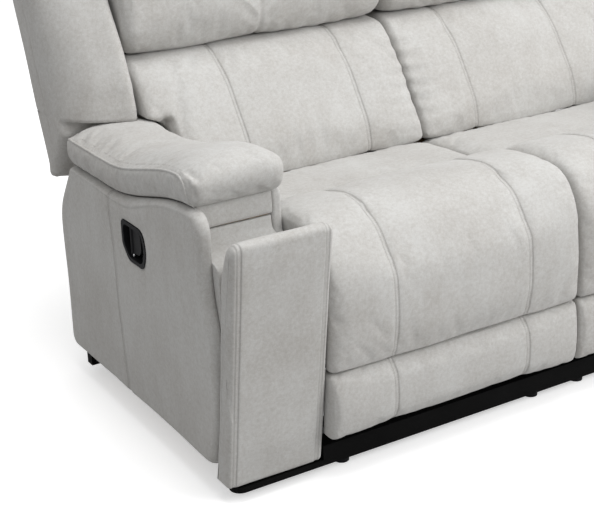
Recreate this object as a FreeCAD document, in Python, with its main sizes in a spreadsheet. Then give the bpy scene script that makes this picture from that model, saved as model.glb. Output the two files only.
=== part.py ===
# A two-seat reclining sofa, in millimetres: fixed arms, and on each seat a footrest linkage,
# a forward-gliding seat and a reclining back.
# X runs from the line between the seats towards the right arm, Y from the kick rail's front
# towards the back, Z up from the floor. The left half is built and mirrored to the right.
import FreeCAD, Part
import math
import os
import re
from FreeCAD import Vector

os.makedirs("parts", exist_ok=True)
doc = FreeCAD.newDocument("reclining_sofa")

SIZES = {
    "seat_width": 555, "arm_width": 190, "arm_depth": 671, "sofa_height": 1000,
    # plain gaps: between fixed pieces, and beside pieces that move
    "fixed_gap": 0.5, "side_gap": 1.5,
    # kick rail, rear rail and the rails of each mechanism
    "rail_depth": 40, "rail_bottom": 19, "rail_top": 58, "rail_end_gap": 15,
    "rear_rail_start": 610, "rear_rail_depth": 22,
    "mechanism_inset": 58, "channel_width": 24, "channel_height": 31, "channel_wall": 3,
    "foot_radius": 14, "front_foot_back": 30, "rear_foot_back": 590,
    "cross_tube_radius": 9, "front_tube_back": 90, "rear_tube_back": 570,
    # arm: underside, the line where the pad meets the panels, and the pieces along it
    "arm_foot": 52, "pad_front": 96, "pad_rear": 600, "line_front": 512, "line_dip": 455,
    "line_run": 334, "arm_rear_height": 350, "panel_thickness": 23, "inner_panel_thickness": 20,
    "pad_side": 56, "pad_crown": 19, "pad_nose": 24, "shelf_height": 422, "core_front": 30,
    "core_depth": 112, "riser_foot": 467, "riser_depth": 160,
    "slab_foot": 31, "slab_top": 497, "slab_lean": 63, "slab_base": 47, "slab_edge": 16,
    "timber": 37, "timber_width": 31,
    # release handle in the outer panel
    "cup_centre": 313, "cup_middle": 383, "cup_half_length": 50, "cup_half_height": 38,
    "cup_depth": 30, "cup_wall": 2.5, "flange_width": 5, "flange_thickness": 3,
    "lever_thickness": 4, "lever_pin_radius": 2.5, "lever_pin_back": 18, "lever_reach": 36,
    "pin_clearance": 0.08, "cable_radius": 3, "cable_bend": 25, "cable_floor_run": 110,
    # seat
    "frame_bottom": 285, "frame_top": 330, "seat_board": 20, "board_front": 2,
    "board_bottom": 214, "seat_frame_depth": 498, "webbing": 2, "webbing_width": 50,
    "roll_bottom": 208, "roll_front": 43, "roll_top": 469, "deck_rear": 390, "deck_front": 424,
    "roll_back": 240, "seat_rear": 492, "seam_inset": 130, "seam_depth": 5, "draw_in": 12,
    "seat_crown": 7,
    # back: its rear face leans back from a foot
    "back_foot": 250, "back_foot_back": 664, "back_slope": 0.36, "shell_thickness": 18,
    "back_frame_thickness": 28, "head_overlap": 42, "wing_inset": 137, "wing_foot": 400,
    "cushion_inset": 149, "lumbar_bottom": 399, "head_line": 647, "over_arm_height": 545,
    "back_post_width": 28,
    # footrest
    "footrest_bottom": 80, "footrest_top": 205, "footrest_front": 42, "pad_back": 10,
    "board_back": 4,
    # linkage: layers beside the side plate, bars and pins
    "plate_thickness": 4, "layer_pitch": 5, "bar_half_width": 9.2, "pin_radius": 4,
    "control_play": 3, "footrest_play": 1, "tube_radius": 8, "tube_tail": 18,
    "recline_back": 575, "recline_height": 255, "recline_pin_radius": 6,
    "glide_travel": 50,
}
sheet = doc.addObject("Spreadsheet::Sheet", "sizes")
for row, (alias, value) in enumerate(SIZES.items(), start=1):
    sheet.set("A%d" % row, alias)
    sheet.set("B%d" % row, str(value))
    sheet.setAlias("B%d" % row, alias)
doc.recompute()


def size(alias):
    """The number in the cell that has this alias."""
    return float(sheet.get(alias))


# Footrest linkage at rest, as (back, up) points: each name is a pivot.
DRIVE_PIVOT = (166.7, 255.7)      # drive link on the side plate
KNEE = (276.6, 107.2)             # drive link to long link
TOE = (16.4, 150.9)               # long link to footrest bracket
CONTROL_PIVOT = (122.6, 246.9)    # control link on the side plate
CONTROL_END = (224.8, 90.1)       # control link on the long link
TIE_START = (285.4, 143.2)        # footrest link on the drive link
TIE_END = (30.4, 190.6)           # footrest link on the footrest bracket

seat_left = -size("seat_width")
arm_left = seat_left - size("arm_width")
mechanism_middle = seat_left / 2
rail_offset = size("seat_width") / 2 - size("mechanism_inset")
gap = size("fixed_gap")


HEAD_LIP = 15         # the head cushion's rear corner below the top
SLAB_CROWN = 4        # fullness of the slab's front


def rear_face(height):
    """Where the back's rear face is at a height."""
    return size("back_foot_back") + (height - size("back_foot")) * size("back_slope")


def cushion_plane(height):
    """Where the cushions rest on the back's frame at a height."""
    return rear_face(height) - size("shell_thickness") - size("back_frame_thickness") - 2 * gap


# Outlines

def turn_direction(corners):
    """1 where the corners run anticlockwise, otherwise -1."""
    total = 0
    for (u0, v0, _), (u1, v1, _) in zip(corners, corners[1:] + corners[:1]):
        total += u0 * v1 - u1 * v0
    return 1 if total > 0 else -1


def inset(corners, distance):
    """The outline moved inwards by a distance on every side."""
    turn = turn_direction(corners)
    count = len(corners)
    moved = []
    for i, (u, v, radius) in enumerate(corners):
        before = corners[i - 1]
        after = corners[(i + 1) % count]
        a = Vector(u - before[0], v - before[1], 0).normalize()
        b = Vector(after[0] - u, after[1] - v, 0).normalize()
        normal_a = Vector(-a.y, a.x, 0) * turn
        normal_b = Vector(-b.y, b.x, 0) * turn
        step = (normal_a + normal_b) * (distance / (1 + normal_a.dot(normal_b)))
        moved.append((u + step.x, v + step.y, radius))
    return moved


def rounded_wire(corners, place, share=0.45):
    """A closed wire of straight runs and tangent arcs through (u, v, radius) corners.

    An arc takes at most a share of each run beside it."""
    count = len(corners)
    stops = []
    for i, (u, v, radius) in enumerate(corners):
        here = Vector(u, v, 0)
        back = Vector(*corners[i - 1][:2], 0) - here
        ahead = Vector(*corners[(i + 1) % count][:2], 0) - here
        if radius == 0:
            stops.append((here, None, here))
            continue
        half = back.getAngle(ahead) / 2
        reach = min(radius / math.tan(half), share * back.Length, share * ahead.Length)
        radius = reach * math.tan(half)
        back.normalize()
        ahead.normalize()
        bisector = (back + ahead).normalize()
        middle = here + bisector * (radius / math.sin(half) - radius)
        stops.append((here + back * reach, middle, here + ahead * reach))
    edges = []
    for i, (start, middle, end) in enumerate(stops):
        if middle is not None:
            edges.append(Part.Arc(place(start), place(middle), place(end)).toShape())
        following = stops[(i + 1) % count][0]
        if end.distanceToPoint(following) > 1e-6:
            edges.append(Part.LineSegment(place(end), place(following)).toShape())
    return Part.Wire(edges)


def at_x(x):
    return lambda point: Vector(x, point.x, point.y)


def at_y(y):
    return lambda point: Vector(point.x, y, point.y)


def at_z(z):
    return lambda point: Vector(point.x, point.y, z)


def prism(corners, x_start, x_end, share=0.45):
    """A side outline of (y, z, radius) corners carried along X."""
    face = Part.Face(rounded_wire(corners, at_x(min(x_start, x_end)), share))
    return face.extrude(Vector(abs(x_end - x_start), 0, 0))


def loft(wires):
    return Part.makeLoft(wires, True, True)


def cylinder_x(x_start, x_end, y, z, radius):
    return Part.makeCylinder(radius, abs(x_end - x_start), Vector(min(x_start, x_end), y, z),
                             Vector(1, 0, 0))


# Objects of the document

pieces = []


def cells(expression):
    """An expression in which each plain word is a cell of the sheet."""
    return re.sub(r"[a-z_]+", lambda word: "sizes." + word.group(0), expression)


def keep(shape, name):
    feature = doc.addObject("Part::Feature", name)
    feature.Shape = shape
    return feature


def box(name, corner, spans):
    """A box whose corner and spans are expressions of the sheet's cells."""
    solid = doc.addObject("Part::Box", name)
    for axis, expression in zip("xyz", corner):
        solid.setExpression("Placement.Base." + axis, cells(expression))
    for side, expression in zip(("Length", "Width", "Height"), spans):
        solid.setExpression(side, cells(expression))
    return solid


def node(name, members):
    """One named node of the sofa."""
    group = doc.addObject("Part::Compound", name)
    group.Label = name
    group.Links = members
    pieces.append(group)
    return group


def node_of(name, *shapes):
    return node(name, [keep(shape, name + "_solid") for shape in shapes])


def mirrored(shape, x=mechanism_middle):
    """The same piece on the other side of the mechanism's middle, or of another plane."""
    return shape.mirror(Vector(x, 0, 0), Vector(1, 0, 0))


def both_sides(*shapes):
    return list(shapes) + [mirrored(shape) for shape in shapes]


def beside_plate(layer):
    """Start and end along X of a bar in a layer inside the left side plate."""
    plate_face = mechanism_middle - rail_offset + size("plate_thickness") / 2
    start = plate_face + 1 + (layer - 1) * size("layer_pitch")
    return start, start + size("plate_thickness")


# Arms

def arm_line(y):
    """Height of the line where the arm's pad meets its panels: a half wave, then level."""
    share = min(max((y - size("pad_front")) / size("line_run"), 0), 1)
    rise = size("line_front") - size("line_dip")
    return size("line_dip") + rise * (1 + math.cos(math.pi * share)) / 2


LINE_STATIONS = 9
line_step = (size("pad_rear") - size("pad_front")) / (LINE_STATIONS - 1)
line_points = [size("pad_front") + i * line_step for i in range(LINE_STATIONS)]


def under_line(y, drop):
    """The line's height between its stations, as straight chords, less a drop."""
    for y0, y1 in zip(line_points, line_points[1:]):
        if y0 <= y <= y1:
            share = (y - y0) / (y1 - y0)
            return arm_line(y0) * (1 - share) + arm_line(y1) * share - drop
    return arm_line(y) - drop


def outer_panel_outline():
    depth = size("arm_depth")
    foot = size("arm_foot")
    rear = [(depth, foot, 18), (depth, size("arm_rear_height"), 30)]
    top = [(y, arm_line(y) - gap, 0) for y in reversed(line_points)]
    nose = [(66, size("line_front") + 1, 14), (50, size("line_front") - 22, 12)]
    front = [(57, 390, 60), (31, 295, 60), (size("core_front") - 5, 170, 60),
             (size("slab_base") + 6, foot, 14)]
    return rear + top + nose + front


CUP_TAPER = 0.24      # slope of the cup's lower corners, as a share of its length


def cup_outline(shrink):
    y = size("cup_centre")
    z = size("cup_middle")
    half_length = size("cup_half_length")
    half_height = size("cup_half_height")
    taper = CUP_TAPER * 2 * half_length
    corners = [(y + half_length, z + half_height, 12), (y - 0.8 * half_length, z + half_height, 24),
               (y - half_length, z, 30), (y - half_length + taper * 0.55, z - half_height, 18),
               (y + half_length - taper, z - half_height, 22), (y + half_length, z - 0.3 * half_height, 20)]
    return inset(corners, shrink)


def outer_panel():
    outline = outer_panel_outline()
    thickness = size("panel_thickness")
    stations = [(0, 13), (3, 5), (9, 0), (thickness, 0)]
    solid = loft([rounded_wire(inset(outline, drawn), at_x(arm_left + x)) for x, drawn in stations])
    hole = prism(cup_outline(0), arm_left - 1, arm_left + thickness + 1)
    return solid.cut(hole)


def slab():
    foot = size("slab_foot")
    top = size("slab_top")
    lean = size("slab_lean")
    base = size("slab_base")
    outline = [(0, foot, 6), (-lean, top, 9), (-lean + size("slab_edge"), top, 6),
               (-34, 451, 0), (-19, 344, 0), (19, 165, 0), (base, foot + 2, 6)]
    crown_front = lambda full: [(y - full if i < 2 else y, z, r) for i, (y, z, r) in enumerate(outline)]
    width = size("arm_width") - size("side_gap")
    stations = [(0, 5, 0), (3, 1.5, 0), (10, 0, 0), (width / 2, 0, SLAB_CROWN),
                (width - 25, 0, 1), (width - 10, 0.5, 0), (width - 3, 2, 0), (width, 5, 0)]
    return loft([rounded_wire(inset(crown_front(full), drawn), at_x(arm_left + x))
                 for x, drawn, full in stations])


def arm_core():
    front = size("core_front")
    depth = size("core_depth")
    bottom = size("arm_foot") + gap
    shelf = size("shelf_height")
    outline = [(depth, bottom, 4), (depth, shelf, 6), (front + 3, shelf, 12), (front - 3, 170, 30),
               (size("slab_base") + 4, bottom, 8)]
    start = arm_left + size("panel_thickness") + gap
    end = seat_left - size("side_gap") - size("inner_panel_thickness") - gap
    return prism(outline, start, end)


def riser():
    front = size("pad_front") + 5
    foot = size("riser_foot")
    depth = size("riser_depth")
    outline = [(front, foot, 10), (depth, foot, 0), (depth, under_line(depth, gap), 0),
               (front, under_line(front, gap), 10)]
    outline.insert(3, (line_points[1], under_line(line_points[1], gap), 0))
    start = arm_left + size("panel_thickness") + gap
    end = seat_left - size("side_gap") - size("inner_panel_thickness") - gap
    return prism(outline, start, end)


def inner_panel():
    foot = size("arm_foot")
    front = size("pad_front") + 8
    top = [(y, arm_line(y) - gap, 0) for y in reversed(line_points[1:])]
    outline = [(size("arm_depth") - 16, foot, 12), (size("arm_depth") - 16, size("arm_rear_height") - 10, 20)]
    outline += top + [(front, under_line(front, gap), 8), (front, size("shelf_height") + 8, 8),
                      (60, size("shelf_height") - 4, 10), (58, foot, 8)]
    end = seat_left - size("side_gap")
    start = end - size("inner_panel_thickness")
    stations = [(start, 0), (end - 4, 0), (end, 4)]
    solid = loft([rounded_wire(inset(outline, drawn), at_x(x)) for x, drawn in stations])
    hole = cylinder_x(start - 1, end + 1, CABLE_BACK, size("cable_floor_run"), size("cable_radius") + 1)
    return solid.cut(hole)


def arm_pad():
    """A pillow carried along the arm's line, fuller in the middle, with rounded ends."""
    outer = arm_left + 1
    inner = seat_left - size("side_gap")

    def section(y, shrink, sink):
        foot = arm_line(y) + sink
        seam = foot + size("pad_side")
        crown = size("pad_crown")
        corners = [(outer + 5, foot, 5), (outer - 1, foot + 24, 20), (outer + 1, seam, 6),
                   (outer + 40, seam + 0.75 * crown, 60), ((outer + inner) / 2, seam + crown, 90),
                   (inner - 40, seam + 0.75 * crown, 60), (inner, seam, 8), (inner, foot + 24, 20),
                   (inner - 5, foot, 5)]
        return rounded_wire(inset(corners, shrink), at_y(y))

    first = size("pad_front")
    last = size("pad_rear")
    nose = size("pad_nose")
    wires = [section(first - nose, 20, 4), section(first - 0.8 * nose, 9, 1),
             section(first - 0.4 * nose, 2, 0)]
    wires += [section(y, 0, 0) for y in line_points]
    wires += [section(last + 7, 7, -2), section(last + 10, 20, -3)]
    return loft(wires)


CABLE_BACK = 325      # where the release cable runs, behind the kick rail
TIMBER_TOP = 424      # underside of the arm's top rails


def arm_frame():
    wide = size("timber_width")
    thick = size("timber")
    bottom = size("arm_foot") + gap
    outer = arm_left + size("panel_thickness") + gap
    inner = seat_left - size("side_gap") - size("inner_panel_thickness") - gap
    front = size("core_depth") + gap
    rear = size("arm_depth") - 16
    span = inner - outer
    solids = []
    for x in (outer, inner - wide):
        solids.append(Part.makeBox(wide, rear - front, thick, Vector(x, front, bottom)))
        solids.append(Part.makeBox(wide, size("pad_rear") - 10 - front - thick, 28,
                                   Vector(x, front + thick, TIMBER_TOP)))
    post_foot = bottom + thick
    solids.append(Part.makeBox(span, thick, size("riser_foot") - gap - post_foot,
                               Vector(outer, front, post_foot)))
    solids.append(Part.makeBox(span, thick, TIMBER_TOP - post_foot,
                               Vector(outer, size("pad_rear") - 10 - thick, post_foot)))
    return solids


# Release handle

def handle_bezel():
    depth = size("cup_depth")
    wall = size("cup_wall")
    edge = size("flange_width") + gap
    flange = prism(cup_outline(gap), arm_left, arm_left + size("flange_thickness"))
    cup = prism(cup_outline(edge), arm_left + size("flange_thickness"), arm_left + depth)
    space = prism(cup_outline(edge + wall), arm_left - 1, arm_left + depth - wall)
    x, y, half = lever_pin_place()
    seat = Part.makeCylinder(size("lever_pin_radius") + size("pin_clearance"), 2 * half + wall,
                             Vector(x, y, size("cup_middle") - half - wall / 2))
    return flange.fuse(cup).cut(space).cut(seat).removeSplitter()


def lever_pin_place():
    """Centre of the lever's pin, and the half height that the cup leaves it."""
    y = size("cup_centre") + size("lever_pin_back")
    x = arm_left + size("flange_thickness") + size("lever_thickness") / 2 + 3
    half = size("cup_half_height") - size("flange_width") - gap - size("cup_wall")
    return x, y, half


def handle_lever():
    x, y, half = lever_pin_place()
    z = size("cup_middle")
    thick = size("lever_thickness")
    barrel_radius = size("lever_pin_radius") + 2.5
    reach = size("lever_reach")
    top = half - 3
    blade = [(y, z - top + 4, 4), (y, z + top, 4), (y - reach, z + top, 16), (y - reach, z - top + 8, 18)]
    plate = prism(blade, x - thick / 2, x + thick / 2)
    barrel = Part.makeCylinder(barrel_radius, 2 * top - 4, Vector(x, y, z - top + 4))
    tail = Part.makeBox(12, thick, 14, Vector(x, y - thick / 2, z - 7))
    eye = Part.makeCylinder(size("lever_pin_radius") + size("pin_clearance"), 200, Vector(x, y, z - 100))
    return plate.fuse(barrel).fuse(tail).cut(eye).removeSplitter()


def handle_pin():
    x, y, half = lever_pin_place()
    half += size("cup_wall") / 2
    return Part.makeCylinder(size("lever_pin_radius"), 2 * half, Vector(x, y, size("cup_middle") - half))


def release_cable():
    """From the back of the cup down inside the arm, through its inner panel, to the rail."""
    start_x = arm_left + size("cup_depth")
    drop_x = (arm_left + seat_left) / 2
    end_x = seat_left + 25
    route = [(start_x, size("cup_middle")), (drop_x, size("cup_middle")),
             (drop_x, size("cable_floor_run")), (end_x, size("cable_floor_run")),
             (end_x, size("rail_top"))]
    bend = size("cable_bend")
    points = [Vector(x, CABLE_BACK, z) for x, z in route]
    solids = []
    start = points[0]
    for before, here, after in zip(points, points[1:], points[2:]):
        back = (before - here).normalize()
        ahead = (after - here).normalize()
        solids.append(straight_cable(start, here + back * bend))
        disc = Part.Face(Part.Wire(Part.makeCircle(size("cable_radius"), here + back * bend, back)))
        centre = here + (back + ahead) * bend
        solids.append(disc.revolve(centre, back.cross(ahead), -90))
        start = here + ahead * bend
    solids.append(straight_cable(start, points[-1]))
    return solids[0].fuse(solids[1:]).removeSplitter()


def straight_cable(start, end):
    run = end - start
    return Part.makeCylinder(size("cable_radius"), run.Length, start, run)


# Base

def kick_rail():
    body = doc.addObject("PartDesign::Body", "kick_rail_body")
    levels = [("low", size("rail_bottom"), size("slab_foot") - gap - size("rail_bottom"),
               -arm_left - size("rail_end_gap")),
              ("tall", size("rail_bottom"), size("rail_top") - size("rail_bottom"), -seat_left - 2)]
    depth = size("rail_depth")
    for name, start, height, half in levels:
        sketch = body.newObject("Sketcher::SketchObject", "kick_rail_" + name)
        plane = next(f for f in body.Origin.OriginFeatures if f.Role == "XY_Plane")
        sketch.AttachmentSupport = [(plane, "")]
        sketch.MapMode = "FlatFace"
        sketch.AttachmentOffset = FreeCAD.Placement(Vector(0, 0, start), FreeCAD.Rotation())
        radius = depth / 2 if name == "low" else 3
        corners = [(-half, 0, radius), (half, 0, radius), (half, depth, radius), (-half, depth, radius)]
        if name == "low":
            add_slot(sketch, half, depth)
        else:
            add_rectangle(sketch, -half, half, 0, depth)
        pad = body.newObject("PartDesign::Pad", "kick_rail_pad_" + name)
        pad.Profile = sketch
        pad.Length = height
        doc.recompute()
    return body


def add_slot(sketch, half, depth):
    """A long outline with round ends, from -half to half along X."""
    radius = depth / 2
    left = Vector(-half + radius, radius, 0)
    right = Vector(half - radius, radius, 0)
    up = Vector(0, 0, 1)
    sketch.addGeometry(Part.ArcOfCircle(Part.Circle(left, up, radius), math.pi / 2, 3 * math.pi / 2))
    sketch.addGeometry(Part.LineSegment(Vector(left.x, 0, 0), Vector(right.x, 0, 0)))
    sketch.addGeometry(Part.ArcOfCircle(Part.Circle(right, up, radius), -math.pi / 2, math.pi / 2))
    sketch.addGeometry(Part.LineSegment(Vector(right.x, depth, 0), Vector(left.x, depth, 0)))


def add_rectangle(sketch, x0, x1, y0, y1):
    points = [Vector(x0, y0, 0), Vector(x1, y0, 0), Vector(x1, y1, 0), Vector(x0, y1, 0)]
    for start, end in zip(points, points[1:] + points[:1]):
        sketch.addGeometry(Part.LineSegment(start, end))


def channel():
    """The U-shaped rail that the seat's runner slides in, beside the mechanism's middle."""
    centre = mechanism_middle - rail_offset
    half = size("channel_width") / 2
    wall = size("channel_wall")
    z = size("rail_bottom")
    top = z + size("channel_height")
    outline = [(centre - half, z), (centre + half, z), (centre + half, top), (centre + half - wall, top),
               (centre + half - wall, z + wall), (centre - half + wall, z + wall),
               (centre - half + wall, top), (centre - half, top)]
    start = size("rail_depth")
    points = [Vector(x, start, height) for x, height in outline]
    face = Part.Face(Part.makePolygon(points + points[:1]))
    return face.extrude(Vector(0, size("rear_rail_start") - start, 0))


def latch_bracket():
    """Carries the end of the release cable beside the outer channel."""
    outer = mechanism_middle - rail_offset - size("channel_width") / 2
    end_x = seat_left + 25
    z = size("rail_bottom") + 4
    foot = Part.makeBox(outer - end_x + 8, 30, 4, Vector(end_x - 8, CABLE_BACK - 15, z))
    post = Part.makeBox(16, 12, size("rail_top") - z, Vector(end_x - 8, CABLE_BACK - 6, z))
    return foot.fuse(post).removeSplitter()


def cross_tubes():
    reach = rail_offset - size("channel_width") / 2
    z = size("rail_bottom") + size("channel_height") / 2
    radius = size("cross_tube_radius")
    return [cylinder_x(mechanism_middle - reach, mechanism_middle + reach, y, z, radius)
            for y in (size("front_tube_back"), size("rear_tube_back"))]


def feet():
    solids = []
    for x in (mechanism_middle - rail_offset, mechanism_middle + rail_offset):
        for y in (size("front_foot_back"), size("rear_foot_back")):
            solids.append(Part.makeCylinder(size("foot_radius"), size("rail_bottom"), Vector(x, y, 0)))
    return solids


# Mechanism

def pivot_hole(point, radius, x_range):
    return cylinder_x(x_range[0] - 1, x_range[1] + 1, point[0], point[1], radius)


def pin(point, first_layer, last_layer):
    """A pin from one layer to another; layer 0 is the side plate."""
    start = beside_plate(first_layer)[0]
    end = beside_plate(last_layer)[1]
    return cylinder_x(start, end, point[0], point[1], size("pin_radius"))


def bar(points, layer):
    """A flat bar whose outline goes round its pivots, given anticlockwise."""
    radius = size("bar_half_width")
    start, end = beside_plate(layer)
    if len(points) == 2:
        (y0, z0), (y1, z1) = points
        along = Vector(y1 - y0, z1 - z0, 0).normalize() * radius
        across = Vector(-along.y, along.x, 0)
        corners = [(y0 - along.x - across.x, z0 - along.y - across.y, radius),
                   (y1 + along.x - across.x, z1 + along.y - across.y, radius),
                   (y1 + along.x + across.x, z1 + along.y + across.y, radius),
                   (y0 - along.x + across.x, z0 - along.y + across.y, radius)]
        return prism(corners, start, end, 0.5)
    solid = None
    for a, b in zip(points, points[1:]):
        strip = bar([a, b], layer)
        solid = strip if solid is None else solid.fuse(strip)
    return solid.removeSplitter()


def with_holes(solid, layer, holes):
    for point, radius in holes:
        solid = solid.cut(pivot_hole(point, radius, beside_plate(layer)))
    return solid


def running():
    return size("pin_radius") + size("pin_clearance")


def drive_link():
    solid = bar([DRIVE_PIVOT, KNEE, TIE_START], 2)
    solid = with_holes(solid, 2, [(DRIVE_PIVOT, running())])
    solid = solid.fuse(pin(KNEE, 2, 3)).fuse(pin(TIE_START, 1, 2))
    tail = tube_centre()
    solid = solid.fuse(bar([DRIVE_PIVOT, tail], 2)).cut(
        pivot_hole(DRIVE_PIVOT, running(), beside_plate(2)))
    return solid.removeSplitter()


def tube_centre():
    """The torsion tube is on the drive link's tail, beyond its pivot."""
    back = DRIVE_PIVOT[0] - KNEE[0]
    up = DRIVE_PIVOT[1] - KNEE[1]
    share = size("tube_tail") / math.hypot(back, up)
    return DRIVE_PIVOT[0] + back * share, DRIVE_PIVOT[1] + up * share


def drive_links():
    y, z = tube_centre()
    start = beside_plate(2)[1]
    tube = cylinder_x(start, 2 * mechanism_middle - start, y, z, size("tube_radius"))
    left = drive_link()
    return left.fuse(tube).fuse(mirrored(left)).removeSplitter()


def long_link():
    solid = bar([KNEE, TOE], 3).fuse(bar([KNEE, CONTROL_END], 3))
    solid = with_holes(solid, 3, [(KNEE, running())])
    return solid.fuse(pin(TOE, 2, 3)).fuse(pin(CONTROL_END, 3, 4)).removeSplitter()


def control_link():
    solid = bar([CONTROL_PIVOT, CONTROL_END], 4)
    play = size("pin_radius") + size("control_play")
    return with_holes(solid, 4, [(CONTROL_PIVOT, running()), (CONTROL_END, play)])


def footrest_link():
    solid = bar([TIE_START, TIE_END], 1)
    play = size("pin_radius") + size("footrest_play")
    return with_holes(solid, 1, [(TIE_START, running()), (TIE_END, play)])


def footrest_bracket():
    """From the footrest's board back to the two pivots that carry it."""
    rear = size("board_back")
    reach = size("bar_half_width")
    outline = [(rear, TOE[1] - 20, 2), (rear + 4, TOE[1] - 20, 2), (TOE[0] + reach, TOE[1] - reach, reach),
               (TIE_END[0] + reach, TIE_END[1] - 2, reach), (TIE_END[0] + reach - 2, TIE_END[1] + reach, reach),
               (rear, TIE_END[1] + reach, 2)]
    start, end = beside_plate(2)
    solid = prism(outline, start, end)
    foot = Part.makeBox(14, 2, TIE_END[1] + reach - TOE[1] + 20, Vector(end - 1, rear, TOE[1] - 20))
    solid = solid.fuse(foot)
    solid = solid.cut(pivot_hole(TOE, running(), (start, end)))
    return solid.fuse(pin(TIE_END, 1, 2)).removeSplitter()


def side_plate():
    """Carries the drive and control links, the back's pivot and the runner."""
    half = size("plate_thickness") / 2
    centre = mechanism_middle - rail_offset
    foot = size("rail_bottom") + size("channel_wall") + 1
    top = size("frame_bottom")
    back = size("recline_back")
    up = size("recline_height")
    outline = [(150, foot, 6), (545, foot, 6), (545, foot + 60, 20), (back + 20, up - 18, 18),
               (back + 6, up + 20, 18), (480, top, 8), (100, top, 6), (96, 236, 12), (140, 215, 20)]
    solid = prism(outline, centre - half, centre + half)
    solid = solid.fuse(pin_through(DRIVE_PIVOT, centre + half, beside_plate(2)[1]))
    solid = solid.fuse(pin_through(CONTROL_PIVOT, centre + half, beside_plate(4)[1]))
    recline_pin = cylinder_x(centre - half - 6, centre - half, back, up, size("recline_pin_radius"))
    return solid.fuse(recline_pin).removeSplitter()


def pin_through(point, x_start, x_end):
    return cylinder_x(x_start, x_end, point[0], point[1], size("pin_radius"))


def runner():
    """Two glide bars on the side plate, inside the channel."""
    centre = mechanism_middle - rail_offset
    inner_half = size("channel_width") / 2 - size("channel_wall") - gap
    half = size("plate_thickness") / 2
    z = size("rail_bottom") + size("channel_wall") + gap
    bars = []
    for x in (centre - inner_half, centre + half):
        bars.append(Part.makeBox(inner_half - half, 360, 20, Vector(x, 160, z)))
    return bars


def back_bracket():
    """From the recline pivot up to the back's frame, outside the side plate."""
    centre = mechanism_middle - rail_offset
    outer = centre - size("plate_thickness") / 2 - 1
    back = size("recline_back")
    up = size("recline_height")
    top = size("lumbar_bottom") - 5
    rear = rear_face(top) - size("shell_thickness") - gap
    front = cushion_plane(top) + gap
    foot_rear = rear_face(up + 10) - size("shell_thickness") - gap
    outline = [(back - 14, up - 14, 14), (back + 20, up - 16, 14), (foot_rear - 2, up + 12, 4), (rear - 2, top, 6),
               (front, top, 6), (back - 8, up + 20, 20)]
    solid = prism(outline, outer - size("plate_thickness"), outer)
    return solid.cut(cylinder_x(outer - 10, outer + 10, back, up,
                                size("recline_pin_radius") + size("pin_clearance")))


# Seat

def seat_sections(profile, drawn, seam):
    """Stations across a seat: drawn-in ends, full panels and two sewn channels."""
    width = size("seat_width") - 2 * size("side_gap")
    start = seat_left + size("side_gap")
    seam_at = size("seam_inset")
    across = [(0, drawn, 0), (4, 0.35 * drawn, 0), (14, 0, 0), (seam_at - 6, 0, 0), (seam_at, seam, 0),
              (seam_at + 6, 0, 0.2), (width / 4 + 60, 0, 0.8), (width / 2, 0, 1)]
    across += [(width - x, d, c) for x, d, c in reversed(across[:-1])]
    return [rounded_wire(inset(profile(crown), d), at_x(start + x)) for x, d, crown in across]


def seat_cushion():
    board = size("board_front") - gap - 1
    bottom = size("frame_top") + size("webbing") + gap
    front = -size("roll_front")
    top = size("roll_top")

    def profile(crown):
        full = crown * size("seat_crown")
        return [(size("seat_rear"), bottom, 0), (board, bottom, 0), (board, size("roll_bottom") + 2, 0),
                (front + 2, size("roll_bottom"), 8), (front - full / 2, 300, 60), (front + 12, 405, 60),
                (12, top - 4 + full / 2, 60), (75, top + full, 90), (140, top - 6 + full, 60),
                (size("roll_back") - 20, deck_height(0) + 14 + full, 30),
                (size("roll_back"), deck_height(0), 6), (330, deck_height(0.35) + full / 2, 120),
                (size("seat_rear"), size("deck_rear"), 10)]

    return loft(seat_sections(profile, size("draw_in"), size("seam_depth")))


def deck_height(share):
    """Height of the deck, falling from the roll to the seat's rear."""
    return size("deck_front") + (size("deck_rear") - size("deck_front")) * share


def seat_frame():
    left = seat_left + 3
    width = size("seat_width") - 6
    board = size("seat_board")
    y0 = size("board_front")
    top = size("frame_top")
    rear = size("seat_frame_depth")
    solids = [Part.makeBox(width, board, top - size("board_bottom"), Vector(left, y0, size("board_bottom"))),
              Part.makeBox(width, board, top - size("frame_bottom"), Vector(left, rear - board, size("frame_bottom")))]
    side = Part.makeBox(28, rear - 2 * board - y0, top - size("frame_bottom"),
                        Vector(mechanism_middle - rail_offset - 14, y0 + board, size("frame_bottom")))
    return solids + both_sides(side)


STRAPS = 5


def webbing():
    """Elastic straps from the front board to the rear rail, with two across."""
    width = size("webbing_width")
    left = seat_left + 12
    pitch = (size("seat_width") - 24 - width) / (STRAPS - 1)
    start = size("board_front")
    length = size("seat_frame_depth") - start
    z = size("frame_top")
    return [Part.makeBox(width, length, size("webbing"), Vector(left + i * pitch, start, z)) for i in range(STRAPS)]


# Footrest

def footrest_pad():
    bottom = size("footrest_bottom")
    top = size("footrest_top")
    front = -size("footrest_front")
    back = -size("pad_back") - gap

    def profile(crown):
        full = 3 * crown
        return [(back, bottom + 2, 5), (back, top - 1, 5), (front + 6, top, 12),
                (front - full, (top + bottom) / 2, 200), (front + 5, bottom, 14)]

    return loft(seat_sections(profile, 8, 4))


def footrest_board():
    left = seat_left + 4
    width = size("seat_width") - 8
    thick = size("pad_back") + size("board_back")
    height = size("footrest_top") - size("footrest_bottom") - 10
    return Part.makeBox(width, thick, height, Vector(left, -size("pad_back"), size("footrest_bottom") + 5))


# Back

def leaning(z0, z1, front_offset, rear_offset, x0, x1):
    """A board that lies along the back's rear face, between two heights."""
    outline = [(rear_face(z0) - rear_offset, z0, 0), (rear_face(z1) - rear_offset, z1, 0),
               (rear_face(z1) - front_offset, z1, 0), (rear_face(z0) - front_offset, z0, 0)]
    return prism(outline, x0, x1)


def shell_top():
    """The shell ends under the head cushion's rear lip."""
    return size("sofa_height") - size("head_overlap")


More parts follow.
